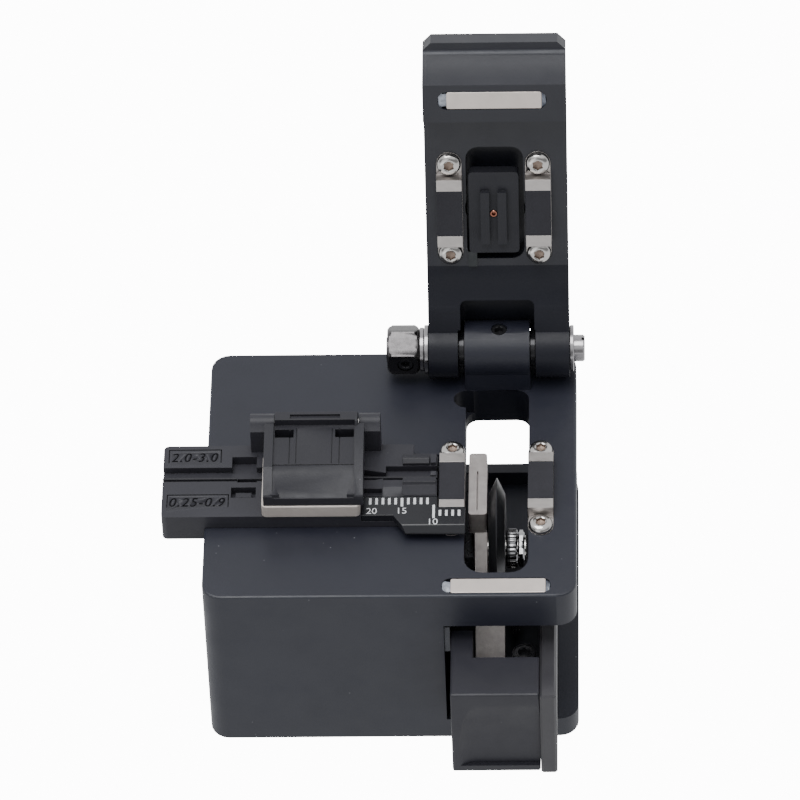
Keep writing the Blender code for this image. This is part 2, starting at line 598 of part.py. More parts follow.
def holder(datum):
    """Fibre holder base with its grooves, guide jaws, bosses and hinge ears, and the length scale."""
    x0, x1, y0, y1 = HOLDER
    plan = rounded(x0, x1, y0, y1, 0.8, 3)
    base = node("holder_base", prism(plan, "z", HOLDER_FLOOR, HOLDER_TOP), datum, "black_plastic")
    under = BODY_H + 0.15
    barrel = ([(EAR_FRONT_Y, HOLDER_TOP - 1.2), (y1 - 0.6, HOLDER_TOP - 1.2), (y1 - 0.6, HOLDER_TOP - 2.0),
               (y1 + 0.05, under), (FLAP_HINGE_Y + 1.6, under)]
              + arc((FLAP_HINGE_Y, FLAP_HINGE_Z), EAR_R, -20, 150, 12) + [(EAR_FRONT_Y, FLAP_HINGE_Z + 0.2)])
    for label, (left, right) in zip(("left", "right"), EARS_X):
        join(base, node("ear_{}_guide".format(label), prism(barrel, "x", left, right), datum, None))
    beyond = 2.0
    top = HOLDER_TOP + beyond
    groove = node("groove_cutter", block(x0 - beyond, x1 + beyond, *GROOVE_Y, HOLDER_TOP - GROOVE_DEPTH, top),
                  datum, None)
    thin = node("thin_groove_cutter", block(x0 - beyond, x1 + beyond, *THIN_GROOVE_Y,
                                            HOLDER_TOP - THIN_GROOVE_DEPTH, top), datum, None)
    shelf = node("scale_shelf_cutter", block(-4.5, x1 + beyond, y0 - beyond, 19.05, SCALE_Z[0] - GAP, top),
                 datum, None)
    slope = [(18.9, top), (18.9, HOLDER_TOP - 1.0), (21.3, HOLDER_TOP + 0.1), (21.3, top)]
    dished = node("dished_slope_cutter", prism(slope, "x", *DISHED_X), datum, None)
    cut(base, groove, thin, shelf, dished)
    for label, (px0, px1, py0, py1), depth in SUNK_IN_HOLDER:
        cut(base, node(label + "_cutter", block(px0, px1, py0, py1, HOLDER_TOP - depth, top + 1), datum, None))
    for label, (px0, px1, py0, py1), rise in RAISED_ON_HOLDER:
        join(base, node(label + "_guide", block(px0, px1, py0, py1, HOLDER_TOP - 1.6, HOLDER_TOP + rise), datum,
                        None))
    for label, outline in (("rear_jaw", REAR_JAW), ("front_jaw", FRONT_JAW)):
        jaw = prism(outline, "z", HOLDER_TOP - 1.7, HOLDER_TOP + 0.05)
        join(base, node(label + "_guide", jaw, datum, None))
    bore = lathe([(FLAP_BORE_R, -25.0), (FLAP_BORE_R, 0.0)], "x", (FLAP_HINGE_Y, FLAP_HINGE_Z), 16)
    cut(base, node("flap_bore_cutter", bore, datum, None))
    outline = [(-4.45, 14.95), (0.5, 14.95), (2.5, 11.95), (11.88, 11.85), (11.88, 16.72), (7.45, 16.72),
               (7.45, 19.0), (-4.45, 19.0)]
    scale = node("scale_plate", prism(outline, "z", *SCALE_Z), datum, "gloss_black")
    back, front = SCALE_CHAMFER
    low, high = SCALE_Z
    chamfer = [(back, high), (front, low + 0.25), (front - 1, low + 0.25), (front - 1, high + 1),
               (back, high + 1)]
    cut(scale, node("scale_chamfer_cutter", prism(chamfer, "x", 0.5, 13.0), datum, None))
    guides(datum)


def guides(datum):
    """The two guide jaws that lead the fibre to the left clamp."""
    low = HOLDER_TOP + GAP
    rear = [(25.6, low), (27.2, low), (27.2, HOLDER_TOP + 1.0), (26.3, HOLDER_TOP + 1.0),
            (25.6, HOLDER_TOP + 0.5)]
    node("guide_rear", prism(rear, "x", 1.9, 6.1), datum, "black_plastic")
    front = [(19.2, low), (22.5, low), (22.5, HOLDER_TOP + 0.7), (21.5, HOLDER_TOP + 0.7),
             (21.2, HOLDER_TOP + 0.25), (19.2, HOLDER_TOP + 0.15)]
    node("guide_front", prism(front, "x", 1.95, 7.2), datum, "black_plastic")


def flap_outline():
    """Side view of the flap's moulded shell."""
    front, low = FLAP_FRONT_Y, FLAP_BOTTOM_Z
    return [(front, low), (27.3, low), (28.5, low + 0.6), (28.5, 42.7), (19.3, 42.6), (front + 0.2, 40.6),
            (front, 40.4)]


def flap(frame, datum):
    """Holder flap: moulded shell on a nickel-plated plate with a rubber pad, and its pin."""
    y, z = FLAP_HINGE_Y, FLAP_HINGE_Z
    main = node("flap_body", prism(flap_outline(), "x", *FLAP_X), frame, "black_plastic")
    barrel = ([(27.9, FLAP_BOTTOM_Z + 0.95), (y - 0.8, FLAP_BOTTOM_Z + 0.35)]
              + arc((y, z), FLAP_BARREL_R, -60, 60, 8)
              + [(y - 0.35, 43.0), (y - 0.5, 43.4), (28.4, 43.4), (27.9, 42.6)])
    join(main, node("flap_barrel_guide", prism(barrel, "x", *FLAP_BARREL_X), frame, None))
    inner = (FLAP_X[0] + FLAP_RAIL_W, FLAP_X[1] - FLAP_RAIL_W)
    scoop = prism([(13.9, 39.9), (15.3, 40.1), (18.9, 42.15), (28.65, 42.15), (28.65, 44.4), (13.9, 44.4)],
                  "x", *inner)
    cutters = [("flap_scoop_cut", scoop),
               ("flap_bore_cut", lathe([(FLAP_BORE_R, -25.0), (FLAP_BORE_R, 0.0)], "x", (y, z), 16)),
               ("flap_slot_cut", block(-15.74, -7.83, 28.95, 29.85, 43.0, 44.0)),
               ("flap_step_cut", block(*inner, 18.0, 20.2, 42.0, 43.0))]
    left0, left1, right0, right1 = FLAP_WINDOWS_X
    for label, wx0, wx1 in (("left", left0, left1), ("right", right0, right1)):
        cutters.append(("window_{}_cut".format(label), block(wx0, wx1, 26.05, 27.75, FLAP_BOTTOM_Z - 1, 44)))
    for i, x in enumerate(FLAP_LINES_X):
        cutters.append(("line_{}_cut".format(i), block(x - 0.07, x + 0.07, 20.4, 28.0, 41.95, 43.0)))
    for label, mesh in cutters:
        cut(main, node(label, mesh, frame, None))
    for label, corner, turn in (("left", inner[0], 1), ("right", inner[1], -1)):
        fillet = [(corner - turn * 0.2, 15.0), (corner + turn * 1.1, 15.0), (corner, 17.8),
                  (corner - turn * 0.2, 17.8)]
        join(main, node("fillet_{}_guide".format(label), prism(fillet, "z", 39.6, 40.75), frame, None))
    plate = node("flap_plate", prism(rounded(*FLAP_PLATE, 0.7, 3), "z", *FLAP_PLATE_Z), frame, "nickel")
    px0, px1, py0, py1 = FLAP_PAD
    pocket = block(px0 - 0.03, px1 + 0.03, py0 - 0.03, py1 + 0.03, 35.0, FLAP_PAD_Z[1] + 0.03)
    cut(plate, node("flap_pad_pocket_cut", pocket, frame, None))
    node("flap_pad", block(*FLAP_PAD, *FLAP_PAD_Z), frame, "rubber")
    pin = lathe([(FLAP_PIN_R, EARS_X[0][0] + 0.1), (FLAP_PIN_R, EARS_X[1][1] - 0.1)], "x", (y, z), 16)
    node("flap_pin", pin, datum, "steel")


def finger_dish(face_y, right_x):
    """Shallow dish in the handle's face: it fades out upwards and to the left, and ends on a ledge below."""
    bottom, deepest, top = DISH_Z
    radius = (top - deepest) ** 2 / (2 * DISH_DEPTH)
    stations = 5
    outlines = []
    depths = []
    for i in range(stations + 1):
        depth = 0.02 + (DISH_DEPTH - 0.02) * (1 - (1 - i / stations) ** 2)
        reach = math.sqrt(2 * radius * depth)
        heights = [bottom + (deepest + reach - bottom) * k / 12 for k in range(13)]
        outlines.append([(face_y - 1, bottom), *((face_y + depth - (h - deepest) ** 2 / (2 * radius), h)
                                                 for h in heights), (face_y - 1, deepest + reach)])
        depths.append(DISH_X[0] + (DISH_X[1] - DISH_X[0]) * i / stations)
    return loft([*outlines, outlines[-1]], [*depths, right_x + 1])


def carriage(frame):
    """Sliding carriage: handle, floor, side plate and the left wall that runs along the rail."""
    x0, x1, y0, y1 = CARRIAGE
    z0, z1 = CARRIAGE_Z
    main = node("carriage_body", block(x0, x1, y0, y1, z0, z1), frame, "anodised")
    edge = main.modifiers.new("edge", "BEVEL")
    edge.width = EDGE_BEVEL * MM
    edge.segments = 2
    edge.limit_method = "ANGLE"
    hollow = node("carriage_hollow_cutter", block(12.9, x1 + 1, HANDLE_BACK_Y, y1 + 1, CARRIAGE_FLOOR_Z,
                                                  z1 + 1), frame, None)
    wall = node("carriage_wall_cutter", block(x0 - 1, 13.5, 2.2, y1 + 1, CARRIAGE_FLOOR_Z, z1 + 1), frame, None)
    dish = node("dish_cutter", finger_dish(y0, x1), frame, None)
    screw = node("height_screw_cutter", lathe([(1.15, CARRIAGE_FLOOR_Z - 3), (1.15, CARRIAGE_FLOOR_Z + 3)], "z",
                                              HEIGHT_SCREW, 16), frame, None)
    cut(main, hollow, wall, dish, screw)
    plate = [(SIDE_PLATE[2], 4.6), (SIDE_PLATE[3], 4.6), (SIDE_PLATE[3], 16.0), (-6.7, z1), (SIDE_PLATE[2], z1)]
    plate = node("side_plate", prism(plate, "x", *SIDE_PLATE[:2]), frame, "anodised")
    softened = plate.modifiers.new("edge", "BEVEL")
    softened.width = EDGE_BEVEL * MM
    softened.segments = 1
    softened.limit_method = "ANGLE"
    face = SIDE_PLATE[1]
    for label, y in (("front", -6.0), ("rear", 28.0)):
        hole = lathe([(0.9, 19.0), (0.9, 27.0)], "x", (y, 7.6), 16)
        head = lathe([(1.75, face - 0.8), (1.75, face + 1.0)], "x", (y, 7.6), 20)
        cutters = (node("plate_hole_{}_cutter".format(label), hole, frame, None),
                   node("plate_head_{}_cutter".format(label), head, frame, None))
        cut(plate, *cutters)
        cut(main, cutters[0])
        screw = [(0.8, 20.2), (0.8, face - 0.75), (1.6, face - 0.75), (1.6, face - 0.05),
                 (0.7, face - 0.05, "hex"), (0.7, face - 0.5, "hex")]
        node("side_plate_screw_{}".format(label), lathe(screw, "x", (y, 7.6)), frame, "steel")
    profile = [(1.0, CARRIAGE_FLOOR_Z - 2.5), (1.0, CARRIAGE_FLOOR_Z + 7.0), (1.9, CARRIAGE_FLOOR_Z + 7.0),
               (1.9, CARRIAGE_FLOOR_Z + 8.8), (0.8, CARRIAGE_FLOOR_Z + 8.8, "hex"),
               (0.8, CARRIAGE_FLOOR_Z + 7.8, "hex")]
    node("height_screw", lathe(profile, "z", HEIGHT_SCREW), frame, "black_steel")


def blade_bracket(frame):
    """Steel arm that stands in the carriage and carries the blade beside it."""
    floor = CARRIAGE_FLOOR_Z + GAP
    foot = [(3.2, floor), (9.0, floor), (9.0, 16.9), (7.6, 18.8), (6.9, 18.8), (3.2, 15.1)]
    foot = node("blade_bracket", prism(foot, "x", *BRACKET_FOOT_X), frame, "steel")
    low = CARRIAGE_FLOOR_Z + 0.4
    arm = [(3.4, 15.2), (4.0, low), (16.0, low), (24.6, 22.0), (24.6, 29.5), (17.35, 29.5), (17.35, 29.2)]
    bar = rounded(BRACKET_BAR_X[0], BRACKET_BAR_X[1] + 0.02, 17.3, 30.5, 0.5, 3)
    join(foot, node("arm_guide", prism(arm, "x", BRACKET_X[0] + 0.01, BRACKET_X[1]), frame, None),
         node("bar_guide", prism(bar, "z", 29.0, BODY_H), frame, None))
    bore = lathe([(BLADE_SHAFT_R + 0.06, 10.0), (BLADE_SHAFT_R + 0.06, 20.0)], "x", (BLADE_Y, BLADE_Z))
    slit = block(13.55, 13.8, 18.2, 26.6, BODY_H - 0.6, BODY_H + 1.0)
    cut(foot, node("bracket_bore_cutter", bore, frame, None), node("bar_slit_cutter", slit, frame, None))


def blade(frame):
    """Round carbide blade on its shaft, with the clamping dial and the nut that lock its angle."""
    centre = (BLADE_Y, BLADE_Z)
    x0, x1 = BLADE_X
    middle = (x0 + x1) / 2
    disc = node("blade", lathe([(BLADE_FLAT_R, x0), (BLADE_R, middle - 0.03), (BLADE_R, middle + 0.03),
                                (BLADE_FLAT_R, x1)], "x", centre, 64), frame, "carbide")
    cut(disc, node("blade_bore_cutter", lathe([(BLADE_BORE_R, x0 - 1), (BLADE_BORE_R, x1 + 1)], "x", centre),
                   frame, None))
    shaft = lathe([(BLADE_SHAFT_R, BRACKET_X[0]), (BLADE_SHAFT_R, 21.2)], "x", centre)
    node("blade_shaft", shaft, frame, "steel")
    dial = tube("x", centre, 3.1, BLADE_BORE_R, 18.1, 19.9, 36)
    node("blade_dial", dial, frame, "steel")
    across = 2.6
    nut = lathe([(across, 19.95, "hex"), (across, 21.0, "hex")], "x", centre)
    nut = node("blade_nut", nut, frame, "steel")
    cut(nut, node("blade_nut_cutter", lathe([(BLADE_BORE_R, 19.0), (BLADE_BORE_R, 22.0)], "x", centre),
                  frame, None))


def index_wheel(frame, carriage_frame):
    """Toothed wheel low in the carriage, on a pin carried by a lug."""
    low, high = INDEX_WHEEL_X
    centre = (INDEX_WHEEL_Y, INDEX_WHEEL_Z)
    outline = []
    for i in range(INDEX_TEETH * 2):
        radius = INDEX_WHEEL_R if i % 2 else INDEX_WHEEL_R - 0.35
        angle = math.pi * i / INDEX_TEETH
        outline.append((centre[0] + radius * math.cos(angle), centre[1] + radius * math.sin(angle)))
    wheel = node("index_wheel", prism(outline, "x", low, high), frame, "steel")
    cut(wheel, node("wheel_bore_cutter", lathe([(1.07, low - 1), (1.07, high + 1)], "x", centre), frame, None))
    collar = 1.7
    pin = [(collar, 18.25), (collar, 18.65), (1.0, 18.65), (1.0, 20.05), (collar, 20.05), (collar, 20.4)]
    node("index_wheel_pin", lathe(pin, "x", centre), carriage_frame, "steel")


def rail(datum, frame):
    """Linear rail on the bay's left wall and the runner block that rides on it."""
    z0, z1 = RAIL_Z
    low = block(RAIL_X[0], RAIL_X[0] + 0.85, RAIL_Y[0], RAIL_Y[1], z0 - 0.8, z1 + 0.8)
    track = node("linear_rail", low, datum, "steel")
    head = block(RAIL_X[0] + 0.2, RAIL_X[1], 13.2, RAIL_Y[1], z0, z1)
    join(track, node("rail_head_guide", head, datum, None))
    runner = node("rail_runner", block(9.6, 12.95, 15.0, 33.0, 15.0, 25.9), frame, "steel")
    cut(runner, node("runner_groove_cutter", block(9.0, RAIL_X[1] + 0.08, 14.0, 34.0, z0 - 0.08, z1 + 0.08),
                     frame, None))


def clear_scene():
    """Start from an empty scene."""
    for thing in list(bpy.data.objects):
        bpy.data.objects.remove(thing, do_unlink=True)


def centred(name, at, parent, turn_x=0.0):
    """An empty on a joint's axis, and under it one that puts pieces back in datum measures."""
    axis = empty(name, at, parent, turn_x)
    return empty(name + "_datum", (-at[0], -at[1], -at[2]), axis)


def main():
    clear_scene()
    datum = empty("datum", (0.0, -BODY_D / 2, MAT_OUT))
    lid_frame = centred("lid_axis", (0.0, HINGE_Y, HINGE_Z), datum, -LID_OPEN_DEG)
    flap_frame = centred("flap_axis", (0.0, FLAP_HINGE_Y, FLAP_HINGE_Z), datum)
    carriage_frame = empty("carriage_slide", (0.0, 0.0, 0.0), datum)
    blade_frame = centred("blade_axis", (0.0, BLADE_Y, BLADE_Z), carriage_frame)
    wheel_frame = centred("index_axis", (0.0, INDEX_WHEEL_Y, INDEX_WHEEL_Z), carriage_frame)

    body(datum)
    node("base_mat", prism(mat_outline(0.0), "z", -MAT_OUT, MAT_T - MAT_OUT), datum, "rubber")
    magnet("deck_magnet", DECK_MAGNET_Y, datum, BODY_H - MAGNET_T, BODY_H)
    for side, x in zip(("left", "right"), CLAMP_X):
        clamp("lower", side, x, datum, BODY_H, PAD_Z)
        clamp("upper", side, x, lid_frame, LID_INNER_Z, LID_PAD_Z)
    hinge(datum)
    lid(lid_frame)
    guide_strip(lid_frame)
    magnet("lid_magnet", LID_MAGNET_Y, lid_frame, NOSE_Z, NOSE_Z + MAGNET_T)
    anvil(lid_frame)
    holder(datum)
    flap(flap_frame, datum)
    carriage(carriage_frame)
    blade_bracket(carriage_frame)
    blade(blade_frame)
    index_wheel(wheel_frame, carriage_frame)
    rail(datum, carriage_frame)


main()
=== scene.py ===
"""Looks of the optical-fibre cleaver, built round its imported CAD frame.

Measures are millimetres from the body's front face (Y), its underside (Z) and the middle of its width (X).
`place` turns them into the frame's metres. Pieces of the lid are drawn closed and OPENED stands them up.
"""

import json
import math

import bpy
import bmesh
from mathutils import Matrix, Vector

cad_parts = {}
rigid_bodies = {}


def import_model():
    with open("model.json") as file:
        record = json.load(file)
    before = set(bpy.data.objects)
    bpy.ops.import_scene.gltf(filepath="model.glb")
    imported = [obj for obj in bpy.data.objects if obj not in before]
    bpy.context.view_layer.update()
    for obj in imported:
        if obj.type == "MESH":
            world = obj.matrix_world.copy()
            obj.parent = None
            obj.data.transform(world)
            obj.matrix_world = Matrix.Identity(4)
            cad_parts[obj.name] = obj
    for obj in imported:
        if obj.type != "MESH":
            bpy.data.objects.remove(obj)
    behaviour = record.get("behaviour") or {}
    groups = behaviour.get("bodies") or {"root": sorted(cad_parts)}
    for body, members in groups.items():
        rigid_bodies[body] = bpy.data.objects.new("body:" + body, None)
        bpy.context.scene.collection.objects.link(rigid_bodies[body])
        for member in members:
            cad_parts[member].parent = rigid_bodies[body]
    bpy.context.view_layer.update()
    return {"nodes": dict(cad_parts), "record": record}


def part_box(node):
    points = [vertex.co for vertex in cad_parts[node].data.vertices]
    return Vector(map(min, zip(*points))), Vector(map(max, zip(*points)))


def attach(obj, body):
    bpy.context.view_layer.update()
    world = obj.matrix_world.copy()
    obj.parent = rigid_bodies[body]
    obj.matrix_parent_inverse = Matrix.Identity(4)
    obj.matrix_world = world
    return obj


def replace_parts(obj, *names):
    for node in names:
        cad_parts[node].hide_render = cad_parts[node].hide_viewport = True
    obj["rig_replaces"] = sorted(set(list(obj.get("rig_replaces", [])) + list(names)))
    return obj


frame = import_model()

MM = 0.001
BODY_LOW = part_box("main_body")[0]
DATUM = Vector((0.0, BODY_LOW.y, BODY_LOW.z))
BODY_OF = {n: body for body, nodes in frame["record"]["behaviour"]["bodies"].items() for n in nodes}
SLOT_OF = {part["node"]: part["material_slot"] for part in frame["record"]["subparts"]}

# Measures shared with the CAD, in millimetres. HINGE is the lid pin's (y, z).
DECK_Z = 33.4
HINGE = (48.84, 38.29)
KNUCKLE_R = 4.6
LID_OPEN_DEG = 106.5
LID_X = (5.84, 28.28)
LID_INNER_Z = 37.45
LID_NOSE_Z = 33.82
LID_BODIES = ("lid", "anvil")
SCREW_R = 1.93
SCREW_H = 1.05
FIBRE_Y = 22.8
CLAMP_X = (9.66, 23.67)
SCREW_REACH = 8.0
MAGNET_Y = {"body": 2.2, "lid": 1.83}
BASE_STEP_X = 26.1
LID_NECK_Y = 33.3
HOLDER_Z = 35.9
WASHER_BORE_R = 2.03
NUT_SCREW_X = 2.1
KNUCKLE_SCREW_X = 17.1
BLADE_CENTRE = (18.4, 24.25)
INDEX_WHEEL_CENTRE = (13.5, 14.2)
HEIGHT_SCREW_AT = (20.9, 0.8)
ANVIL_SCREW_AT = (16.6, FIBRE_Y + 0.6)
SCALE_ZERO_X = 16.9

# Camera, from the side it is seen from: where it looks, how far off it stands and how it is turned
CAMERA_AIM = (1.17, 41.4, 34.4)
CAMERA_DISTANCE = 1.2
CAMERA_HEADING = 2.646
CAMERA_ELEVATION = 46.281
CAMERA_ROLL = -2.413
CAMERA_LENS = 338.4
SENSOR = 36.0

# Meshes: vertices closer than this are one (metres), what counts as flat, as a crease and as an edge
# to round (degrees), and the sides of a turned piece
MERGE = 2e-6
FLAT_DEG = 0.7
CREASE_DEG = 28.0
BEVEL_FROM_DEG = 35
ROUND = 64

OPENED = (Matrix.Translation((0.0, *HINGE)) @ Matrix.Rotation(math.radians(-LID_OPEN_DEG), 4, "X")
          @ Matrix.Translation((0.0, -HINGE[0], -HINGE[1])))
TO_FRAME = Matrix.Translation(DATUM) @ Matrix.Scale(MM, 4)


def place(x, y, z):
    """Millimetres from the body's datum to metres in the frame."""
    return DATUM + Vector((x, y, z)) * MM


def to_frame(body):
    """What turns millimetres into the frame for a piece of that body; the lid's are drawn closed."""
    return TO_FRAME @ OPENED if body in LID_BODIES else TO_FRAME


# ---------------------------------------------------------------- materials

# Dust specks: cells per metre, the cell radii a speck fades between, the patches it keeps to, its colour
DUST_SCALE = 420.0
DUST_SIZE = (0.035, 0.060)
DUST_PATCHES = 300.0
DUST_COLOUR = (0.25, 0.26, 0.28)
GLOSS_TO_CLOUD = 3.1
GRAIN_DEPTH = 0.00006
COAT_ROUGH = 0.12


def material(name):
    made = bpy.data.materials.new(name)
    made.use_nodes = True
    tree = made.node_tree
    return made, tree, tree.nodes["Principled BSDF"]


def coordinates(tree, stretch=(1.0, 1.0, 1.0)):
    """Object coordinates, squeezed along an axis for a grain that runs the other way."""
    where = tree.nodes.new("ShaderNodeTexCoord")
    mapping = tree.nodes.new("ShaderNodeMapping")
    mapping.inputs["Scale"].default_value = stretch
    tree.links.new(where.outputs["Object"], mapping.inputs["Vector"])
    return mapping.outputs["Vector"]


def noise(tree, vector, scale, detail=3.0, rough=0.5):
    made = tree.nodes.new("ShaderNodeTexNoise")
    made.inputs["Scale"].default_value = scale
    made.inputs["Detail"].default_value = detail
    made.inputs["Roughness"].default_value = rough
    tree.links.new(vector, made.inputs["Vector"])
    return made.outputs["Fac"]


def spread(tree, value, low, high, from_low=0.3, from_high=0.7):
    """Map a noise value onto a range."""
    made = tree.nodes.new("ShaderNodeMapRange")
    made.inputs["From Min"].default_value = from_low
    made.inputs["From Max"].default_value = from_high
    made.inputs["To Min"].default_value = low
    made.inputs["To Max"].default_value = high
    tree.links.new(value, made.inputs["Value"])
    return made.outputs["Result"]


def product(tree, first, second):
    both = tree.nodes.new("ShaderNodeMath")
    both.operation = "MULTIPLY"
    tree.links.new(first, both.inputs[0])
    tree.links.new(second, both.inputs[1])
    return both.outputs["Value"]


def mix_colour(tree, factor, first, second):
    made = tree.nodes.new("ShaderNodeMix")
    made.data_type = "RGBA"
    for socket, value in ((made.inputs["A"], first), (made.inputs["B"], second)):
        if isinstance(value, tuple):
            socket.default_value = (*value, 1.0)
        else:
            tree.links.new(value, socket)
    tree.links.new(factor, made.inputs["Factor"])
    return made.outputs["Result"]


def add_dust(tree, vector, tone, amount):
    """Lay sparse pale specks over a tone."""
    cells = tree.nodes.new("ShaderNodeTexVoronoi")
    cells.inputs["Scale"].default_value = DUST_SCALE
    cells.inputs["Randomness"].default_value = 1.0
    tree.links.new(vector, cells.inputs["Vector"])
    dots = spread(tree, cells.outputs["Distance"], amount, 0.0, *DUST_SIZE)
    sparse = spread(tree, noise(tree, vector, DUST_PATCHES, 1.0, 0.5), 0.0, 1.0, 0.52, 0.60)
    return mix_colour(tree, product(tree, dots, sparse), tone, DUST_COLOUR)


def surface(name, colour, rough, metallic=0.0, variation=0.08, cloud=90.0, grain=4200.0, bump=0.10,
            rough_spread=0.06, stretch=(1.0, 1.0, 1.0), specks=0.0, coat=0.0, specular=0.5):
    """A finish with cloudy tone, fine grain in its relief and uneven gloss.

    `cloud` and `grain` are noise scales per metre; `specks` is the strength of its pale dust.
    """
    made, tree, shader = material(name)
    vector = coordinates(tree, stretch)
    dark = tuple(c * (1.0 - variation) for c in colour)
    light = tuple(min(1.0, c * (1.0 + variation)) for c in colour)
    tone = mix_colour(tree, spread(tree, noise(tree, vector, cloud, 4.0, 0.6), 0.0, 1.0), dark, light)
    if specks:
        tone = add_dust(tree, vector, tone, specks)
    tree.links.new(tone, shader.inputs["Base Color"])
    fine = noise(tree, vector, grain, 2.0, 0.6)
    gloss = noise(tree, vector, cloud * GLOSS_TO_CLOUD, 3.0, 0.6)
    uneven = spread(tree, gloss, rough - rough_spread, rough + rough_spread)
    tree.links.new(uneven, shader.inputs["Roughness"])
    relief = tree.nodes.new("ShaderNodeBump")
    relief.inputs["Strength"].default_value = bump
    relief.inputs["Distance"].default_value = GRAIN_DEPTH
    tree.links.new(fine, relief.inputs["Height"])
    tree.links.new(relief.outputs["Normal"], shader.inputs["Normal"])
    shader.inputs["Metallic"].default_value = metallic
    shader.inputs["Coat Weight"].default_value = coat
    shader.inputs["Coat Roughness"].default_value = COAT_ROUGH
    shader.inputs["Specular IOR Level"].default_value = specular
    return made


# Textures that several finishes share
BLASTED = {"cloud": 80.0, "grain": 5200.0, "bump": 0.14}
MOULDED = {"cloud": 150.0, "grain": 3600.0, "bump": 0.22}
POLISHED = {"metallic": 1.0, "variation": 0.06, "cloud": 300.0, "grain": 2600.0, "bump": 0.08}
PLATING = {"variation": 0.05, "cloud": 250.0, "grain": 3800.0, "bump": 0.25}
DRIED = {"grain": 1800.0, "coat": 0.3}

ANODISED = surface("anodised", (0.0118, 0.0130, 0.0215), 0.42, specks=0.5, specular=0.40,
                   **{**BLASTED, "cloud": 60.0})
ANODISED_LID = surface("anodised_lid", (0.0085, 0.0092, 0.0150), 0.36, specks=0.4, specular=0.48,
                       **{**BLASTED, "cloud": 70.0, "bump": 0.12})
ANODISED_HANDLE = surface("anodised_handle", (0.0170, 0.0170, 0.0235), 0.44, specks=0.3, specular=0.35,
                          **{**BLASTED, "bump": 0.18})
SIDE_PLATE = surface("anodised_plate", (0.034, 0.033, 0.038), 0.40, specks=0.3, specular=0.45,
                     **{**BLASTED, "bump": 0.18})
# Painted highlight: a lighter tone on the anodised pieces' rounded edges and edge bands, standing in for
# light caught on the chamfers
EDGE_HIGHLIGHT = surface("anodised_edge_painted_highlight", (0.019, 0.021, 0.030), 0.34, variation=0.12, cloud=200.0, specular=0.35)
# Painted shade on the lid's hollow underside and the knuckles beside the hinge
NECK_SHADE = surface("anodised_neck_painted_shade", (0.0074, 0.0080, 0.0132), 0.42, specular=0.24,
               **{**BLASTED, "cloud": 70.0, "bump": 0.12})
# Painted shade on the walls, floor and slot of the body's cavity
CAVITY_SHADE = surface("anodised_cavity_painted_shade", (0.0088, 0.0094, 0.0145), 0.50, variation=0.10, specular=0.22, **BLASTED)
# Painted shade on the carriage's floor and the walls behind its handle
PAINTED_SHADE = surface("anodised_painted_shade", (0.0050, 0.0054, 0.0080), 0.55, variation=0.10, specular=0.12, **BLASTED)

HOLDER = surface("holder_plastic", (0.0175, 0.0174, 0.0225), 0.46, specks=0.3, specular=0.32, **MOULDED)
HOLDER_BASE = surface("holder_base_plastic", (0.0255, 0.0254, 0.0320), 0.46, specks=0.3, specular=0.30,
                      **MOULDED)
# Painted highlight: a lighter tone on the holder plastic's rounded edges and edge bands
HOLDER_EDGE_HIGHLIGHT = surface("holder_plastic_edge_painted_highlight", (0.022, 0.022, 0.026), 0.42, specular=0.3,
                      **{**MOULDED, "bump": 0.12})
# Painted shade in the cut figures and frames of the holder's engraving
ENGRAVING_SHADE = surface("holder_engraving_painted_shade", (0.0070, 0.0070, 0.0090), 0.55, specular=0.12,
                   **{**MOULDED, "bump": 0.15})
ANVIL = surface("anvil_plastic", (0.0180, 0.0184, 0.0230), 0.45, specular=0.25, **{**MOULDED, "bump": 0.2})
SCALE_GLOSS = surface("scale_gloss", (0.0105, 0.0110, 0.0140), 0.22, cloud=120.0, grain=2500.0, bump=0.05,
                      coat=0.15, specular=0.3)
RUBBER = surface("rubber", (0.0270, 0.0268, 0.0320), 0.75, variation=0.10, cloud=160.0, grain=2600.0,
                 bump=0.5, specks=0.6, specular=0.15)

STEEL = surface("clamp_steel", (0.47, 0.445, 0.43), 0.40, rough_spread=0.08, stretch=(1.0, 6.0, 1.0),
                **{**POLISHED, "grain": 3000.0, "bump": 0.15})
BRIGHT = surface("bright_steel", (0.52, 0.505, 0.49), 0.17, **{**POLISHED, "variation": 0.05, "bump": 0.06})
# Painted shade inside the screws' six-sided sockets
SOCKET_SHADE = surface("socket_painted_shade", (0.26, 0.20, 0.165), 0.42,
                 **{**POLISHED, "metallic": 0.8, "variation": 0.05, "bump": 0.06})
NICKEL = surface("nickel_plate", (0.66, 0.60, 0.56), 0.45, metallic=1.0, **PLATING)
PLATED = surface("plated_steel", (0.56, 0.51, 0.475), 0.48, metallic=0.55, **PLATING)
STRIP = surface("strip_steel", (0.045, 0.048, 0.050), 0.35, metallic=0.9, variation=0.10, cloud=400.0,
                grain=3800.0, bump=0.15)
ARM = surface("arm_steel", (0.36, 0.335, 0.325), 0.48, metallic=0.66, variation=0.12, cloud=700.0,
              grain=3400.0, bump=0.35, rough_spread=0.10)
CARBIDE = surface("carbide", (0.030, 0.031, 0.035), 0.34,
                  **{**POLISHED, "metallic": 0.7, "variation": 0.08, "cloud": 400.0, "bump": 0.06})
COPPER = surface("copper_tone", (0.30, 0.13, 0.09), 0.25,
                 **{**POLISHED, "variation": 0.08, "cloud": 500.0, "bump": 0.10})
NUT = surface("nut_steel", (0.098, 0.094, 0.096), 0.24,
              **{**POLISHED, "variation": 0.10, "cloud": 500.0, "bump": 0.10})
HINGE_CHROME = surface("hinge_chrome", (0.33, 0.32, 0.33), 0.20, **POLISHED)
CHROME = surface("dial_chrome", (0.26, 0.26, 0.27), 0.12, **{**POLISHED, "cloud": 900.0})
RAIL = surface("rail_steel", (0.07, 0.072, 0.080), 0.30, **{**POLISHED, "metallic": 0.9})
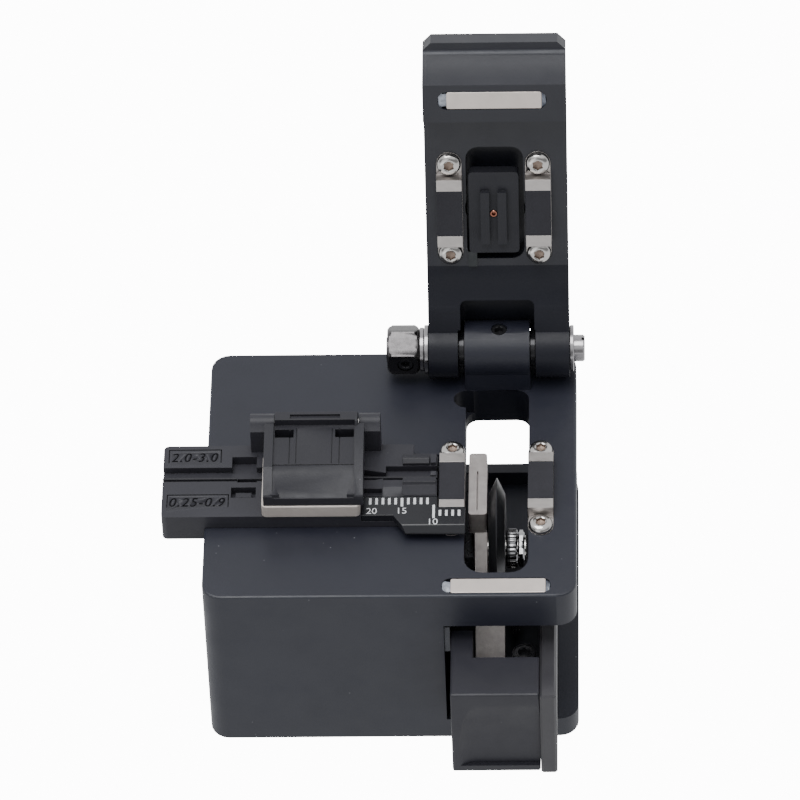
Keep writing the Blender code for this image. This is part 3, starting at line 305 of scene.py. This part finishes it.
BLACK_STEEL = surface("black_steel", (0.022, 0.022, 0.025), 0.22, **{**POLISHED, "metallic": 0.5})

INK = surface("white_print", (0.62, 0.63, 0.65), 0.60, variation=0.05, cloud=900.0, grain=2600.0, bump=0.05)
GLUE = surface("set_glue", (0.085, 0.095, 0.120), 0.20, variation=0.6, cloud=700.0, bump=0.5, **DRIED)
GLUE_PALE = surface("set_glue_pale", (0.24, 0.26, 0.30), 0.30, variation=0.5, cloud=900.0, bump=0.6, **DRIED)

# The finish of each CAD slot's faces, and of its rounded edges; where the edge finish is lighter than the
# faces it is a painted highlight
FINISHES = {
    "anodised_body": (ANODISED, EDGE_HIGHLIGHT),
    "anodised_lid": (ANODISED_LID, EDGE_HIGHLIGHT),
    "anodised_carriage": (ANODISED_HANDLE, ANODISED_HANDLE),
    "holder_plastic": (HOLDER, HOLDER_EDGE_HIGHLIGHT),
    "anvil_plastic": (ANVIL, ANVIL),
    "gloss_scale": (SCALE_GLOSS, SCALE_GLOSS),
    "rubber": (RUBBER, RUBBER),
    "clamp_steel": (STEEL, STEEL),
    "nickel_plate": (NICKEL, NICKEL),
    "arm_steel": (ARM, ARM),
    "carbide": (CARBIDE, CARBIDE),
    "copper_tone": (COPPER, COPPER),
    "hinge_chrome": (HINGE_CHROME, HINGE_CHROME),
    "screw_steel": (BRIGHT, BRIGHT),
    "rail_steel": (RAIL, RAIL),
    "black_steel": (BLACK_STEEL, BLACK_STEEL),
    "strip_steel": (STRIP, STRIP),
}


# ---------------------------------------------------------------- shapes, in millimetres

def to_axis(axis, across, up, along):
    if axis == "x":
        return Vector((along, across, up))
    if axis == "y":
        return Vector((across, along, up))
    return Vector((across, up, along))


def prism(outline, axis, low, high, shape=None):
    """Extrude a closed outline: X takes (y, z), Y takes (x, z), Z takes (x, y). May be added to a shape."""
    shape = shape or bmesh.new()
    ends = [[shape.verts.new(to_axis(axis, a, b, depth)) for a, b in outline] for depth in (low, high)]
    shape.faces.new(ends[0])
    shape.faces.new(list(reversed(ends[1])))
    for i in range(len(outline)):
        j = (i + 1) % len(outline)
        shape.faces.new((ends[0][i], ends[1][i], ends[1][j], ends[0][j]))
    return shape


def ring_radius(radius, angle, form):
    """Distance to a round outline, to a hexagon's whose half flat is `radius`, or to a knurl's."""
    if form == "hex":
        off = (angle + math.pi / 6) % (math.pi / 3) - math.pi / 6
        return radius / math.cos(off)
    if form == "knurl":
        return radius * (1.0 - 0.035 * (0.5 + 0.5 * math.cos(angle * 30)))
    if form == "cut hex":
        return min(ring_radius(radius, angle, "hex"), radius * 1.06)
    if form == "cut more":
        return min(ring_radius(radius, angle, "hex"), radius * 0.985)
    return radius


def lathe(profile, axis, centre, sides=ROUND, ring=False):
    """Turn (radius, depth, form) steps about an axis. A `ring` closes on itself and has no end faces."""
    shape = bmesh.new()
    rings = []
    for step in profile:
        form = step[2] if len(step) > 2 else "round"
        points = []
        for i in range(sides):
            angle = 2 * math.pi * i / sides
            r = ring_radius(step[0], angle, form)
            points.append(shape.verts.new(to_axis(axis, centre[0] + r * math.cos(angle),
                                                  centre[1] + r * math.sin(angle), step[1])))
        rings.append(points)
    pairs = list(zip(rings, rings[1:]))
    if ring:
        pairs.append((rings[-1], rings[0]))
    else:
        shape.faces.new(rings[0])
        shape.faces.new(rings[-1])
    for low, high in pairs:
        for i in range(sides):
            j = (i + 1) % sides
            shape.faces.new((low[i], low[j], high[j], high[i]))
    return shape


def washer(outer, inner, low, high):
    """Profile of a ring with small chamfers on its outer corners."""
    edge = 0.12
    return [(inner, low), (outer - edge, low), (outer, low + edge), (outer, high - edge),
            (outer - edge, high), (inner, high)]


# ---------------------------------------------------------------- pieces

def smooth(mesh, crease=CREASE_DEG):
    mesh.shade_smooth()
    mesh.set_sharp_from_angle(angle=math.radians(crease))


def shown(name, shape, body, finish, stands_for=(), crease=CREASE_DEG):
    """A piece drawn in millimetres, put in the frame on its body with its finish."""
    shape.transform(to_frame(body))
    bmesh.ops.recalc_face_normals(shape, faces=shape.faces)
    data = bpy.data.meshes.new(name)
    shape.to_mesh(data)
    shape.free()
    made = bpy.data.objects.new(name, data)
    bpy.context.scene.collection.objects.link(made)
    data.materials.append(finish)
    smooth(data, crease)
    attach(made, body)
    if stands_for:
        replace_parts(made, *stands_for)
    return made


def finer(node, shape, finish, crease=CREASE_DEG):
    """A CAD node drawn again in its place with more sides."""
    return shown(node + "_fine", shape, BODY_OF[node], finish, (node,), crease)


def bake(made):
    """Turn a piece's modifiers into its mesh."""
    bpy.context.view_layer.update()
    data = bpy.data.meshes.new_from_object(made.evaluated_get(bpy.context.evaluated_depsgraph_get()))
    made.modifiers.clear()
    made.data = data


def carve(made, body, *shapes):
    """Take shapes drawn in millimetres away from a piece."""
    cutters = []
    for shape in shapes:
        shape.transform(to_frame(body))
        bmesh.ops.recalc_face_normals(shape, faces=shape.faces)
        data = bpy.data.meshes.new("cutter")
        shape.to_mesh(data)
        shape.free()
        cutter = bpy.data.objects.new("cutter", data)
        bpy.context.scene.collection.objects.link(cutter)
        step = made.modifiers.new("cut", "BOOLEAN")
        step.operation = "DIFFERENCE"
        step.solver = "EXACT"
        step.object = cutter
        cutters.append(cutter)
    bake(made)
    for cutter in cutters:
        bpy.data.objects.remove(cutter, do_unlink=True)


# A face longer than the first and narrower than the second is an edge break
BAND_LENGTH = 3.0
BAND_WIDTH = 0.32


def thin_band(face):
    """True for the long narrow faces that a machined edge break leaves."""
    longest = max(edge.calc_length() for edge in face.edges)
    return longest > BAND_LENGTH * MM and face.calc_area() / longest < BAND_WIDTH * MM


def softened(name, width, chosen=None, chosen_width=0.0, deep=None, finishes=None, split_x=None):
    """The CAD node with flat faces made whole again and its edges rounded; `chosen` edges get more.

    Rounded edges and edge bands take the second finish, which paints a highlight where it is lighter than
    the faces;
    faces whose middle `deep` picks out take the third finish, which paints shade; `split_x` first parts the
    faces there.
    """
    source = frame["nodes"][name]
    shape = bmesh.new()
    shape.from_mesh(source.data)
    bmesh.ops.remove_doubles(shape, verts=shape.verts, dist=MERGE)
    bmesh.ops.dissolve_limit(shape, angle_limit=math.radians(FLAT_DEG), verts=shape.verts, edges=shape.edges)
    bmesh.ops.recalc_face_normals(shape, faces=shape.faces)
    back = to_frame(BODY_OF[name]).inverted()
    if split_x is not None:
        bmesh.ops.bisect_plane(shape, geom=shape.verts[:] + shape.edges[:] + shape.faces[:], dist=MERGE,
                               plane_co=to_frame(BODY_OF[name]) @ Vector((split_x, 0.0, 0.0)),
                               plane_no=(1.0, 0.0, 0.0))
    for face in shape.faces:
        # Long narrow edge bands take the second finish, a painted highlight on the anodised and plastic
        # pieces
        face.material_index = 1 if thin_band(face) else 0
        if deep and deep(back @ face.calc_center_median()):
            face.material_index = 2
    if chosen:
        edges = [edge for edge in shape.edges if chosen(*(back @ v.co for v in edge.verts))]
        bmesh.ops.bevel(shape, geom=edges, offset=chosen_width * MM, segments=1, affect="EDGES", profile=0.5,
                        material=1, clamp_overlap=True)
    data = bpy.data.meshes.new(name + "_soft")
    shape.to_mesh(data)
    shape.free()
    made = bpy.data.objects.new(name + "_soft", data)
    bpy.context.scene.collection.objects.link(made)
    for finish in finishes or (*FINISHES[SLOT_OF[name]], PAINTED_SHADE):
        data.materials.append(finish)
    smooth(data)
    if width:
        bevel = made.modifiers.new("edge", "BEVEL")
        bevel.width = width * MM
        bevel.segments = 2
        bevel.limit_method = "ANGLE"
        bevel.angle_limit = math.radians(BEVEL_FROM_DEG)
        bevel.harden_normals = True
        bevel.use_clamp_overlap = True
        # The rounded edges take the second finish, a painted highlight on the anodised and plastic pieces
        bevel.material = 1
    if name != "flap_body":
        evened = made.modifiers.new("evened", "WEIGHTED_NORMAL")
        evened.keep_sharp = True
    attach(made, BODY_OF[name])
    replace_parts(made, name)
    return made


# Where the lid's scoop, the body's cavity and the carriage's inside lie; the lid's neck, the cavity and the
# carriage's inside are painted in shade
SCOOP_Y = (-4.4, -0.8)
SCOOP_Z = (33.7, 39.2)
LID_NECK_TOP_Z = 42.0
CAVITY_X = (8.3, BASE_STEP_X)
CAVITY_Y = (0.3, 52.5)
CARRIAGE_INSIDE_Y = (-3.45, 33.9)
CARRIAGE_WALL_X = 9.6
CARRIAGE_FLOOR_Z = 10.0


def inside(value, limits):
    return limits[0] < value < limits[1]


def scoop_side(a, b):
    """True for the lid's side edges along its finger scoop."""
    on_side = any(abs(a.x - x) < 0.05 and abs(b.x - x) < 0.05 for x in LID_X)
    return on_side and all(inside(v.y, SCOOP_Y) and inside(v.z, SCOOP_Z) for v in (a, b))


# The faces this picks out are painted in shade
def lid_neck(v):
    """True for the lid's hollow underside and knuckles beside the hinge."""
    return v.y > LID_NECK_Y and v.z < LID_NECK_TOP_Z


# The faces this picks out are painted in shade
def inside_body(v):
    """True for the walls, floor and slot of the body's cavity."""
    return inside(v.x, CAVITY_X) and inside(v.y, CAVITY_Y) and v.z < DECK_Z - 0.1


# The faces this picks out are painted in shade
def inside_carriage(v):
    """True for the carriage's floor and the walls behind its handle."""
    return inside(v.y, CARRIAGE_INSIDE_Y) and v.x > CARRIAGE_WALL_X and v.z > CARRIAGE_FLOOR_Z


# How far each piece's edges are rounded, in millimetres
SOFTENED = {
    "flap_body": 0.12, "scale_plate": 0.12, "guide_front": 0.08, "guide_rear": 0.08, "blade_bracket": 0.12,
    "lower_clamp_left": 0.06, "lower_clamp_right": 0.06, "upper_clamp_left": 0.06, "upper_clamp_right": 0.06,
    "lower_pad_left": 0.06, "lower_pad_right": 0.06, "upper_pad_left": 0.06, "upper_pad_right": 0.06,
    "deck_magnet": 0.12, "lid_magnet": 0.12, "anvil_block": 0.12,
}

SOFT = {node_name: softened(node_name, width) for node_name, width in SOFTENED.items()}
# The lid's neck is painted in shade
SOFT["lid_body"] = softened("lid_body", 0.15, scoop_side, 0.55, deep=lid_neck,
                            finishes=(ANODISED_LID, EDGE_HIGHLIGHT, NECK_SHADE))
# The carriage's floor and inner walls are painted in shade
SOFT["carriage_body"] = softened("carriage_body", 0.12, deep=inside_carriage)
# The body's cavity is painted in shade
SOFT["main_body"] = softened("main_body", 0.12, deep=inside_body, finishes=(ANODISED, EDGE_HIGHLIGHT, CAVITY_SHADE),
                             split_x=BASE_STEP_X)
SOFT["holder_base"] = softened("holder_base", 0.10, finishes=(HOLDER_BASE, HOLDER_EDGE_HIGHLIGHT))
SOFT["flap_plate"] = softened("flap_plate", 0.15, finishes=(PLATED, PLATED))
SOFT["side_plate"] = softened("side_plate", 0.0, finishes=(SIDE_PLATE, EDGE_HIGHLIGHT))


# ---------------------------------------------------------------- screws, hinge, blade and wheel

def button_screw(name, x, y, seat, up):
    """Button-head screw: ring at its foot, smooth dome, chamfered six-sided socket."""
    foot = 0.16
    crown_r = 0.98
    crown = SCREW_H - foot
    at = [(SCREW_R - 0.08, 0.0), (SCREW_R, 0.06), (SCREW_R, foot)]
    at += [(crown_r + (SCREW_R - crown_r) * math.cos(a), foot + crown * math.sin(a))
           for a in (0.25, 0.5, 0.75, 1.0, 1.25, 1.5)]
    at += [(0.90, SCREW_H), (0.74, SCREW_H - 0.10, "hex"), (0.72, SCREW_H - 0.62, "hex"),
           (0.25, SCREW_H - 0.75)]
    turned = [(step[0], seat + up * (step[1] + 0.02), *step[2:]) for step in at]
    made = finer(name, lathe(turned, "z", (x, y), 48), BRIGHT, 38.0)
    # The socket's faces are painted in shade
    made.data.materials.append(SOCKET_SHADE)
    socket_r = 0.80
    lip = seat + up * (SCREW_H - 0.25)
    back = to_frame(BODY_OF[name]).inverted()
    for face in made.data.polygons:
        middle = back @ face.center
        radial = math.hypot(middle.x - x, middle.y - y)
        if radial < socket_r and (middle.z - lip) * up < 0:
            face.material_index = 1


for prefix, seat_z, direction in (("lower", DECK_Z, 1.0), ("upper", LID_INNER_Z, -1.0)):
    for side, clamp_x in zip(("left", "right"), CLAMP_X):
        for end, along in (("front", -SCREW_REACH), ("rear", SCREW_REACH)):
            screw_name = "{}_screw_{}_{}".format(prefix, side, end)
            button_screw(screw_name, clamp_x, FIBRE_Y + along, seat_z, direction)


def hinge_washers():
    for name, radius, low, high in (("washer_left_outer", 3.5, 4.34, 5.05),
                                    ("washer_left_inner", 3.9, 5.09, 5.80),
                                    ("washer_knuckle_left", 2.9, 10.55, 11.52),
                                    ("washer_knuckle_right", 2.9, 21.96, 22.86),
                                    ("washer_right_outer", 3.7, 28.32, 28.97)):
        finish = BLACK_STEEL if "knuckle" in name else HINGE_CHROME
        finer(name, lathe(washer(radius, WASHER_BORE_R, low, high), "x", HINGE, 72, True), finish)


def hinge_pin():
    """Pin with a slotted head at the right."""
    profile = [(1.95, -0.97), (1.95, 29.0), (2.15, 29.0), (2.15, 30.45), (1.90, 30.71)]
    pin = finer("hinge_pin", lathe(profile, "x", HINGE), HINGE_CHROME)
    y, z = HINGE
    outline = [(y - 0.25, z - 3.0), (y + 0.25, z - 3.0), (y + 0.25, z + 3.0), (y - 0.25, z + 3.0)]
    carve(pin, BODY_OF["hinge_pin"], prism(outline, "x", 30.2, 32))


def hinge_nut():
    """Six-sided nut, with a screw let into its front face."""
    y, z = HINGE
    low, high, half = -0.82, 4.30, 3.5
    profile = [(WASHER_BORE_R, low), (half * 0.93, low), (half, low + 0.12, "cut more"),
               (half, low + 0.35, "cut hex"), (half, low + 0.75, "hex"), (half, high - 0.75, "hex"),
               (half, high - 0.35, "cut hex"), (half, high - 0.12, "cut more"), (half * 0.93, high),
               (WASHER_BORE_R, high)]
    nut = finer("hinge_nut", lathe(profile, "x", HINGE, 72, True), NUT, 24.0)
    hole = lathe([(1.3, y - 6.0), (1.3, y - 2.1)], "y", (NUT_SCREW_X, z))
    carve(nut, BODY_OF["hinge_nut"], hole)
    face = y - 3.38
    screw = [(1.24, y - 2.15), (1.24, face + 0.1), (1.14, face), (0.78, face), (0.66, face + 0.12, "hex"),
             (0.62, face + 0.9, "hex")]
    finer("hinge_nut_screw", lathe(screw, "y", (NUT_SCREW_X, z), 48), BLACK_STEEL)


def knuckle_screw():
    y, z = HINGE
    top = z + KNUCKLE_R - 0.30
    screw = [(1.24, z + 2.1), (1.24, top - 0.1), (1.14, top), (0.80, top), (0.68, top - 0.12, "hex"),
             (0.62, top - 0.9, "hex")]
    finer("knuckle_screw", lathe(screw, "z", (KNUCKLE_SCREW_X, y), 48), BLACK_STEEL)


def blade_pieces():
    """Blade, knurled dial and nut with fine outlines."""
    bore = 2.07
    disc = [(bore, 15.4), (8.4, 15.4), (8.7, 15.42), (11.14, 16.62), (11.2, 16.7), (11.14, 16.78),
            (8.7, 17.98), (8.4, 18.0), (bore, 18.0)]
    finer("blade", lathe(disc, "x", BLADE_CENTRE, 144, True), CARBIDE, 12.0)
    dial = [(bore, 18.1), (2.8, 18.1), (3.05, 18.25, "knurl"), (3.1, 18.4, "knurl"), (3.1, 19.6, "knurl"),
            (3.05, 19.75, "knurl"), (2.8, 19.9), (bore, 19.9)]
    finer("blade_dial", lathe(dial, "x", BLADE_CENTRE, 180, True), CHROME)
    nut = [(bore, 19.95), (2.5, 19.95), (2.6, 20.05, "cut more"), (2.6, 20.2, "hex"), (2.6, 20.75, "hex"),
           (2.6, 20.9, "cut more"), (2.45, 21.0), (bore, 21.0)]
    finer("blade_nut", lathe(nut, "x", BLADE_CENTRE, 72, True), CHROME)


def index_wheel():
    """Wheel with three knurled rings round its rim."""
    bore = 1.07
    low, high = 18.75, 19.95
    rim = [(bore, low), (2.9, low), (3.05, low + 0.04)]
    for i in range(3):
        start = low + 0.06 + i * 0.39
        rim += [(3.3, start), (3.3, start + 0.2, "knurl"), (2.85, start + 0.24), (2.85, start + 0.35)]
    rim += [(3.05, high - 0.02), (bore, high)]
    finer("index_wheel", lathe(rim, "x", INDEX_WHEEL_CENTRE, 120, True), BRIGHT)


def height_screw():
    """Cap screw beside the arm, with a raised rim round its socket."""
    foot = 10.5
    top = foot + 8.8
    screw = [(1.0, foot - 2.5), (1.0, foot + 6.9), (1.75, foot + 7.0), (1.9, foot + 7.15), (1.9, foot + 8.6),
             (1.78, foot + 8.75), (1.55, top), (1.50, foot + 8.68), (1.25, foot + 8.68), (1.2, top),
             (1.02, top), (0.84, foot + 8.6, "hex"), (0.8, foot + 7.8, "hex")]
    finer("height_screw", lathe(screw, "z", HEIGHT_SCREW_AT), BLACK_STEEL)


def anvil_screw():
    face = 36.55
    screw = [(0.6, 38.5), (0.6, face + 0.08), (0.52, face), (0.34, face), (0.26, face + 0.1, "hex"),
             (0.24, face + 0.5, "hex")]
    finer("anvil_screw", lathe(screw, "z", ANVIL_SCREW_AT, 48), COPPER)


hinge_washers()
hinge_pin()
hinge_nut()
knuckle_screw()
blade_pieces()
index_wheel()
height_screw()
anvil_screw()


# ---------------------------------------------------------------- print, engraving and glue

# The engraved frames on the holder (x0, x1, y0, y1), the patches that hold both, the depth of the lines,
# the figures' slant and how far apart slanted figures stand
REAR_LABEL = (-35.2, -26.8, 26.6, 29.45)
FRONT_LABEL = (-35.2, -25.4, 17.0, 19.75)
LABELS_X = (-35.4, -25.3)
LABELS_Y = ((16.9, 19.9), (26.5, 29.5))
ENGRAVING_DEPTH = 0.22
SLANT = 0.22
SLANTED_SPACING = 1.12


def lettering(words, x0, x1, y0, y1, low, high, slant=0.0):
    """A solid of generic figures that fills a rectangle, or is centred in it when x1 is None."""
    curve = bpy.data.curves.new("words", "FONT")
    curve.body = words
    curve.shear = slant
    curve.space_character = SLANTED_SPACING if slant else 1.0
    curve.extrude = 0.5
    curve.resolution_u = 6
    holder = bpy.data.objects.new("words", curve)
    bpy.context.scene.collection.objects.link(holder)
    bpy.context.view_layer.update()
    data = bpy.data.meshes.new_from_object(holder.evaluated_get(bpy.context.evaluated_depsgraph_get()))
    bpy.data.objects.remove(holder, do_unlink=True)
    shape = bmesh.new()
    shape.from_mesh(data)
    bpy.data.meshes.remove(data)
    bmesh.ops.remove_doubles(shape, verts=shape.verts, dist=1e-5)
    left, right = min(v.co.x for v in shape.verts), max(v.co.x for v in shape.verts)
    foot, head = min(v.co.y for v in shape.verts), max(v.co.y for v in shape.verts)
    tall = (y1 - y0) / (head - foot)
    wide = tall if x1 is None else (x1 - x0) / (right - left)
    start = x0 - (right - left) * wide / 2 if x1 is None else x0
    for v in shape.verts:
        v.co = Vector((start + (v.co.x - left) * wide, y0 + (v.co.y - foot) * tall,
                       low + (v.co.z + 0.5) * (high - low)))
    return shape


def groove(x0, x1, y0, y1, low, high):
    return prism([(x0, y0), (x1, y0), (x1, y1), (x0, y1)], "z", low, high)


def label(words, text_box, frame_box, low, high):
    """Cutters for slanted figures and the three lines round them, open below."""
    line = 0.17
    gap = 0.01
    x0, x1, y0, y1 = frame_box
    sides = groove(x0, x0 + line, y0, y1, low, high)
    prism([(x1 - line, y0), (x1, y0), (x1, y1), (x1 - line, y1)], "z", low, high, sides)
    top = groove(x0 + line + gap, x1 - line - gap, y1 - line, y1, low, high)
    return lettering(words, *text_box, low, high, SLANT), sides, top


def engrave_holder():
    """The two fibre ranges on the holder's left end, each in a thin frame."""
    base = SOFT["holder_base"]
    low, high = HOLDER_Z - ENGRAVING_DEPTH, HOLDER_Z + 0.5
    rear = label("2.0-3.0", (-34.75, -27.35, 26.8, 28.65), REAR_LABEL, low, high)
    front = label("0.25-0.9", (-34.75, -25.95, 17.15, 19.0), FRONT_LABEL, low, high)
    carve(base, "body", rear[0], front[0], rear[1], rear[2], front[1], front[2])
    # The floors and walls of the cut figures and frames are painted in shade
    base.data.materials.append(ENGRAVING_SHADE)
    shaded_engraving = len(base.data.materials) - 1
    back = to_frame("body").inverted()
    for face in base.data.polygons:
        middle = back @ face.center
        in_label = inside(middle.x, LABELS_X) and any(inside(middle.y, limits) for limits in LABELS_Y)
        if in_label and low - 0.01 < middle.z < HOLDER_Z - 0.02:
            face.material_index = shaded_engraving


def scale_print():
    """White ticks and figures of the length scale, whose zero is the blade's plane."""
    low, high = HOLDER_Z - 0.01, HOLDER_Z + 0.02
    half = 0.20
    shape = bmesh.new()
    for n in range(6, 21):
        x = SCALE_ZERO_X - n
        y0, y1 = (17.28, 18.63) if n > 10 else (14.75, 16.0)
        if n == 15:
            y0 = 16.82
        if n == 10:
            y0, y1 = 14.3, 17.1
        prism([(x - half, y0), (x + half, y0), (x + half, y1), (x - half, y1)], "z", low, high, shape)
    shown("scale_ticks", shape, "body", INK)
    half_height = 0.62
    for words, x, y in (("20", -2.86, 15.9), ("15", 1.96, 15.9), ("10", 6.88, 13.55)):
        figure = lettering(words, x, None, y - half_height, y + half_height, low, high)
        shown("figure_" + words, figure, "body", INK)


def glue(name, x0, x1, y, top, body, up, finish):
    """A drop of set glue that fills the end of a magnet's slot and stands in a low lens."""
    half = 1.5
    steps = 10
    sunk_rim = -0.30
    rise = 0.26
    depth = 1.2
    shape = bmesh.new()
    rows = []
    for i in range(steps + 1):
        row = []
        for j in range(steps + 1):
            u, v = i / steps, j / steps
            x = x0 + (x1 - x0) * u
            y_at = y + half * (2 * v - 1) * (0.72 + 0.28 * math.sin(math.pi * min(1.0, 0.5 + u)))
            dome = math.sin(math.pi * v) * math.sin(math.pi * (0.15 + 0.7 * u))
            ripple = 0.05 * math.sin(9.0 * u + 3.0 * v) * math.sin(7.0 * v)
            row.append(shape.verts.new((x, y_at, top + up * (sunk_rim + rise * dome + ripple))))
        rows.append(row)
    for i in range(steps):
        for j in range(steps):
            shape.faces.new((rows[i][j], rows[i + 1][j], rows[i + 1][j + 1], rows[i][j + 1]))
    edge = [e for e in shape.edges if e.is_boundary]
    sunk = bmesh.ops.extrude_edge_only(shape, edges=edge)
    for v in sunk["geom"]:
        if isinstance(v, bmesh.types.BMVert):
            v.co.z = top - up * depth
    shape.faces.new(loop_of(shape))
    shown(name, shape, body, finish, (), 60.0)


def loop_of(shape):
    """The vertices of a shape's one open edge loop, in order."""
    open_edges = [e for e in shape.edges if e.is_boundary]
    first = open_edges[0].verts[0]
    order = [first]
    came = None
    while True:
        step = next(e for e in order[-1].link_edges if e.is_boundary and e is not came)
        following = step.other_vert(order[-1])
        if following is first:
            return order
        order.append(following)
        came = step


engrave_holder()
scale_print()
for glue_body, glue_top, glue_up in (("body", DECK_Z, 1.0), ("lid", LID_NOSE_Z, -1.0)):
    glue_y = MAGNET_Y[glue_body]
    glue("glue_left_" + glue_body, 8.3, 9.62, glue_y, glue_top, glue_body, glue_up, GLUE_PALE)
    glue("glue_right_" + glue_body, 24.48, 25.2, glue_y, glue_top, glue_body, glue_up, GLUE)


# The CAD nodes that nothing is drawn in place of show themselves
REPLACED = {n for o in bpy.context.scene.objects for n in list(o.get("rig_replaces", []))}
for node_name, node_object in frame["nodes"].items():
    if node_name in REPLACED:
        continue
    node_object.data.materials.clear()
    node_object.data.materials.append(FINISHES[SLOT_OF[node_name]][0])
    smooth(node_object.data)


# ---------------------------------------------------------------- stage

# Brightness of the backdrop and of the white surroundings. LAMPS: name, place from the object in metres,
# watts and width. ROOM is how bright the darker room is, and its edges fade over these parts of the sky.
STAGE_GLOW = 13.0
WORLD = 1.2
LAMPS = (("top", (-0.15, -0.05, 0.88), 6.5, 0.6), ("front", (-0.35, -0.80, 0.20), 1.2, 0.6))
ROOM = 0.33
ROOM_FOOT = (-0.02, 0.10)
ROOM_TOP = (0.45, 0.70)
ROOM_SIDE = (-0.25, 0.15)
BACKDROP_R = 8.0
FLOOR_R = 7.0
FLOOR_GAP = 0.0001


def glowing(name, shape):
    """Backdrop or floor that shows as white and neither lights nor shades the object."""
    data = bpy.data.meshes.new(name)
    shape.to_mesh(data)
    shape.free()
    made = bpy.data.objects.new(name, data)
    bpy.context.scene.collection.objects.link(made)
    finish, _, shader = material(name)
    shader.inputs["Base Color"].default_value = (0.0, 0.0, 0.0, 1.0)
    shader.inputs["Specular IOR Level"].default_value = 0.0
    shader.inputs["Emission Color"].default_value = (1.0, 1.0, 1.0, 1.0)
    shader.inputs["Emission Strength"].default_value = STAGE_GLOW
    data.materials.append(finish)
    made.visible_diffuse = False
    made.visible_glossy = False
    made.visible_shadow = False
    made.visible_transmission = False


def surroundings(tree):
    """White all round, and a darker room low on the camera's side."""
    where = tree.nodes.new("ShaderNodeTexCoord")
    parts = tree.nodes.new("ShaderNodeSeparateXYZ")
    tree.links.new(where.outputs["Generated"], parts.inputs["Vector"])
    bands = [spread(tree, parts.outputs["Z"], 0.0, 1.0, *ROOM_FOOT),
             spread(tree, parts.outputs["Z"], 1.0, 0.0, *ROOM_TOP),
             spread(tree, parts.outputs["Y"], 1.0, 0.0, *ROOM_SIDE)]
    dark = product(tree, product(tree, bands[0], bands[1]), bands[2])
    background = tree.nodes["Background"]
    background.inputs["Color"].default_value = (0.98, 0.99, 1.0, 1.0)
    tree.links.new(spread(tree, dark, WORLD, ROOM, 0.0, 1.0), background.inputs["Strength"])


def stage():
    """White floor and backdrop, soft studio light and the camera."""
    dome = bmesh.new()
    bmesh.ops.create_uvsphere(dome, u_segments=32, v_segments=16, radius=BACKDROP_R)
    glowing("backdrop", dome)
    floor = bmesh.new()
    bmesh.ops.create_circle(floor, cap_ends=True, segments=48, radius=FLOOR_R)
    floor.transform(Matrix.Translation((0.0, 0.0, BODY_LOW.z - FLOOR_GAP)))
    glowing("floor", floor)

    world = bpy.data.worlds.new("studio")
    bpy.context.scene.world = world
    world.use_nodes = True
    surroundings(world.node_tree)

    centre = place(0.0, 26.0, 30.0)
    for name, offset, watts, width in LAMPS:
        light = bpy.data.lights.new(name, "AREA")
        light.energy = watts
        light.size = width
        lamp = bpy.data.objects.new(name, light)
        lamp.location = centre + Vector(offset)
        lamp.rotation_euler = (-Vector(offset)).to_track_quat("-Z", "Y").to_euler()
        bpy.context.scene.collection.objects.link(lamp)

    camera_data = bpy.data.cameras.new("camera")
    camera_data.lens = CAMERA_LENS
    camera_data.sensor_width = SENSOR
    camera = bpy.data.objects.new("camera", camera_data)
    turn = (Matrix.Rotation(math.radians(CAMERA_HEADING), 4, "Z")
            @ Matrix.Rotation(math.radians(90.0 - CAMERA_ELEVATION), 4, "X")
            @ Matrix.Rotation(math.radians(CAMERA_ROLL), 4, "Z"))
    camera.matrix_world = (Matrix.Translation(place(*CAMERA_AIM)) @ turn
                           @ Matrix.Translation((0.0, 0.0, CAMERA_DISTANCE)))
    bpy.context.scene.collection.objects.link(camera)
    bpy.context.scene.camera = camera


stage()
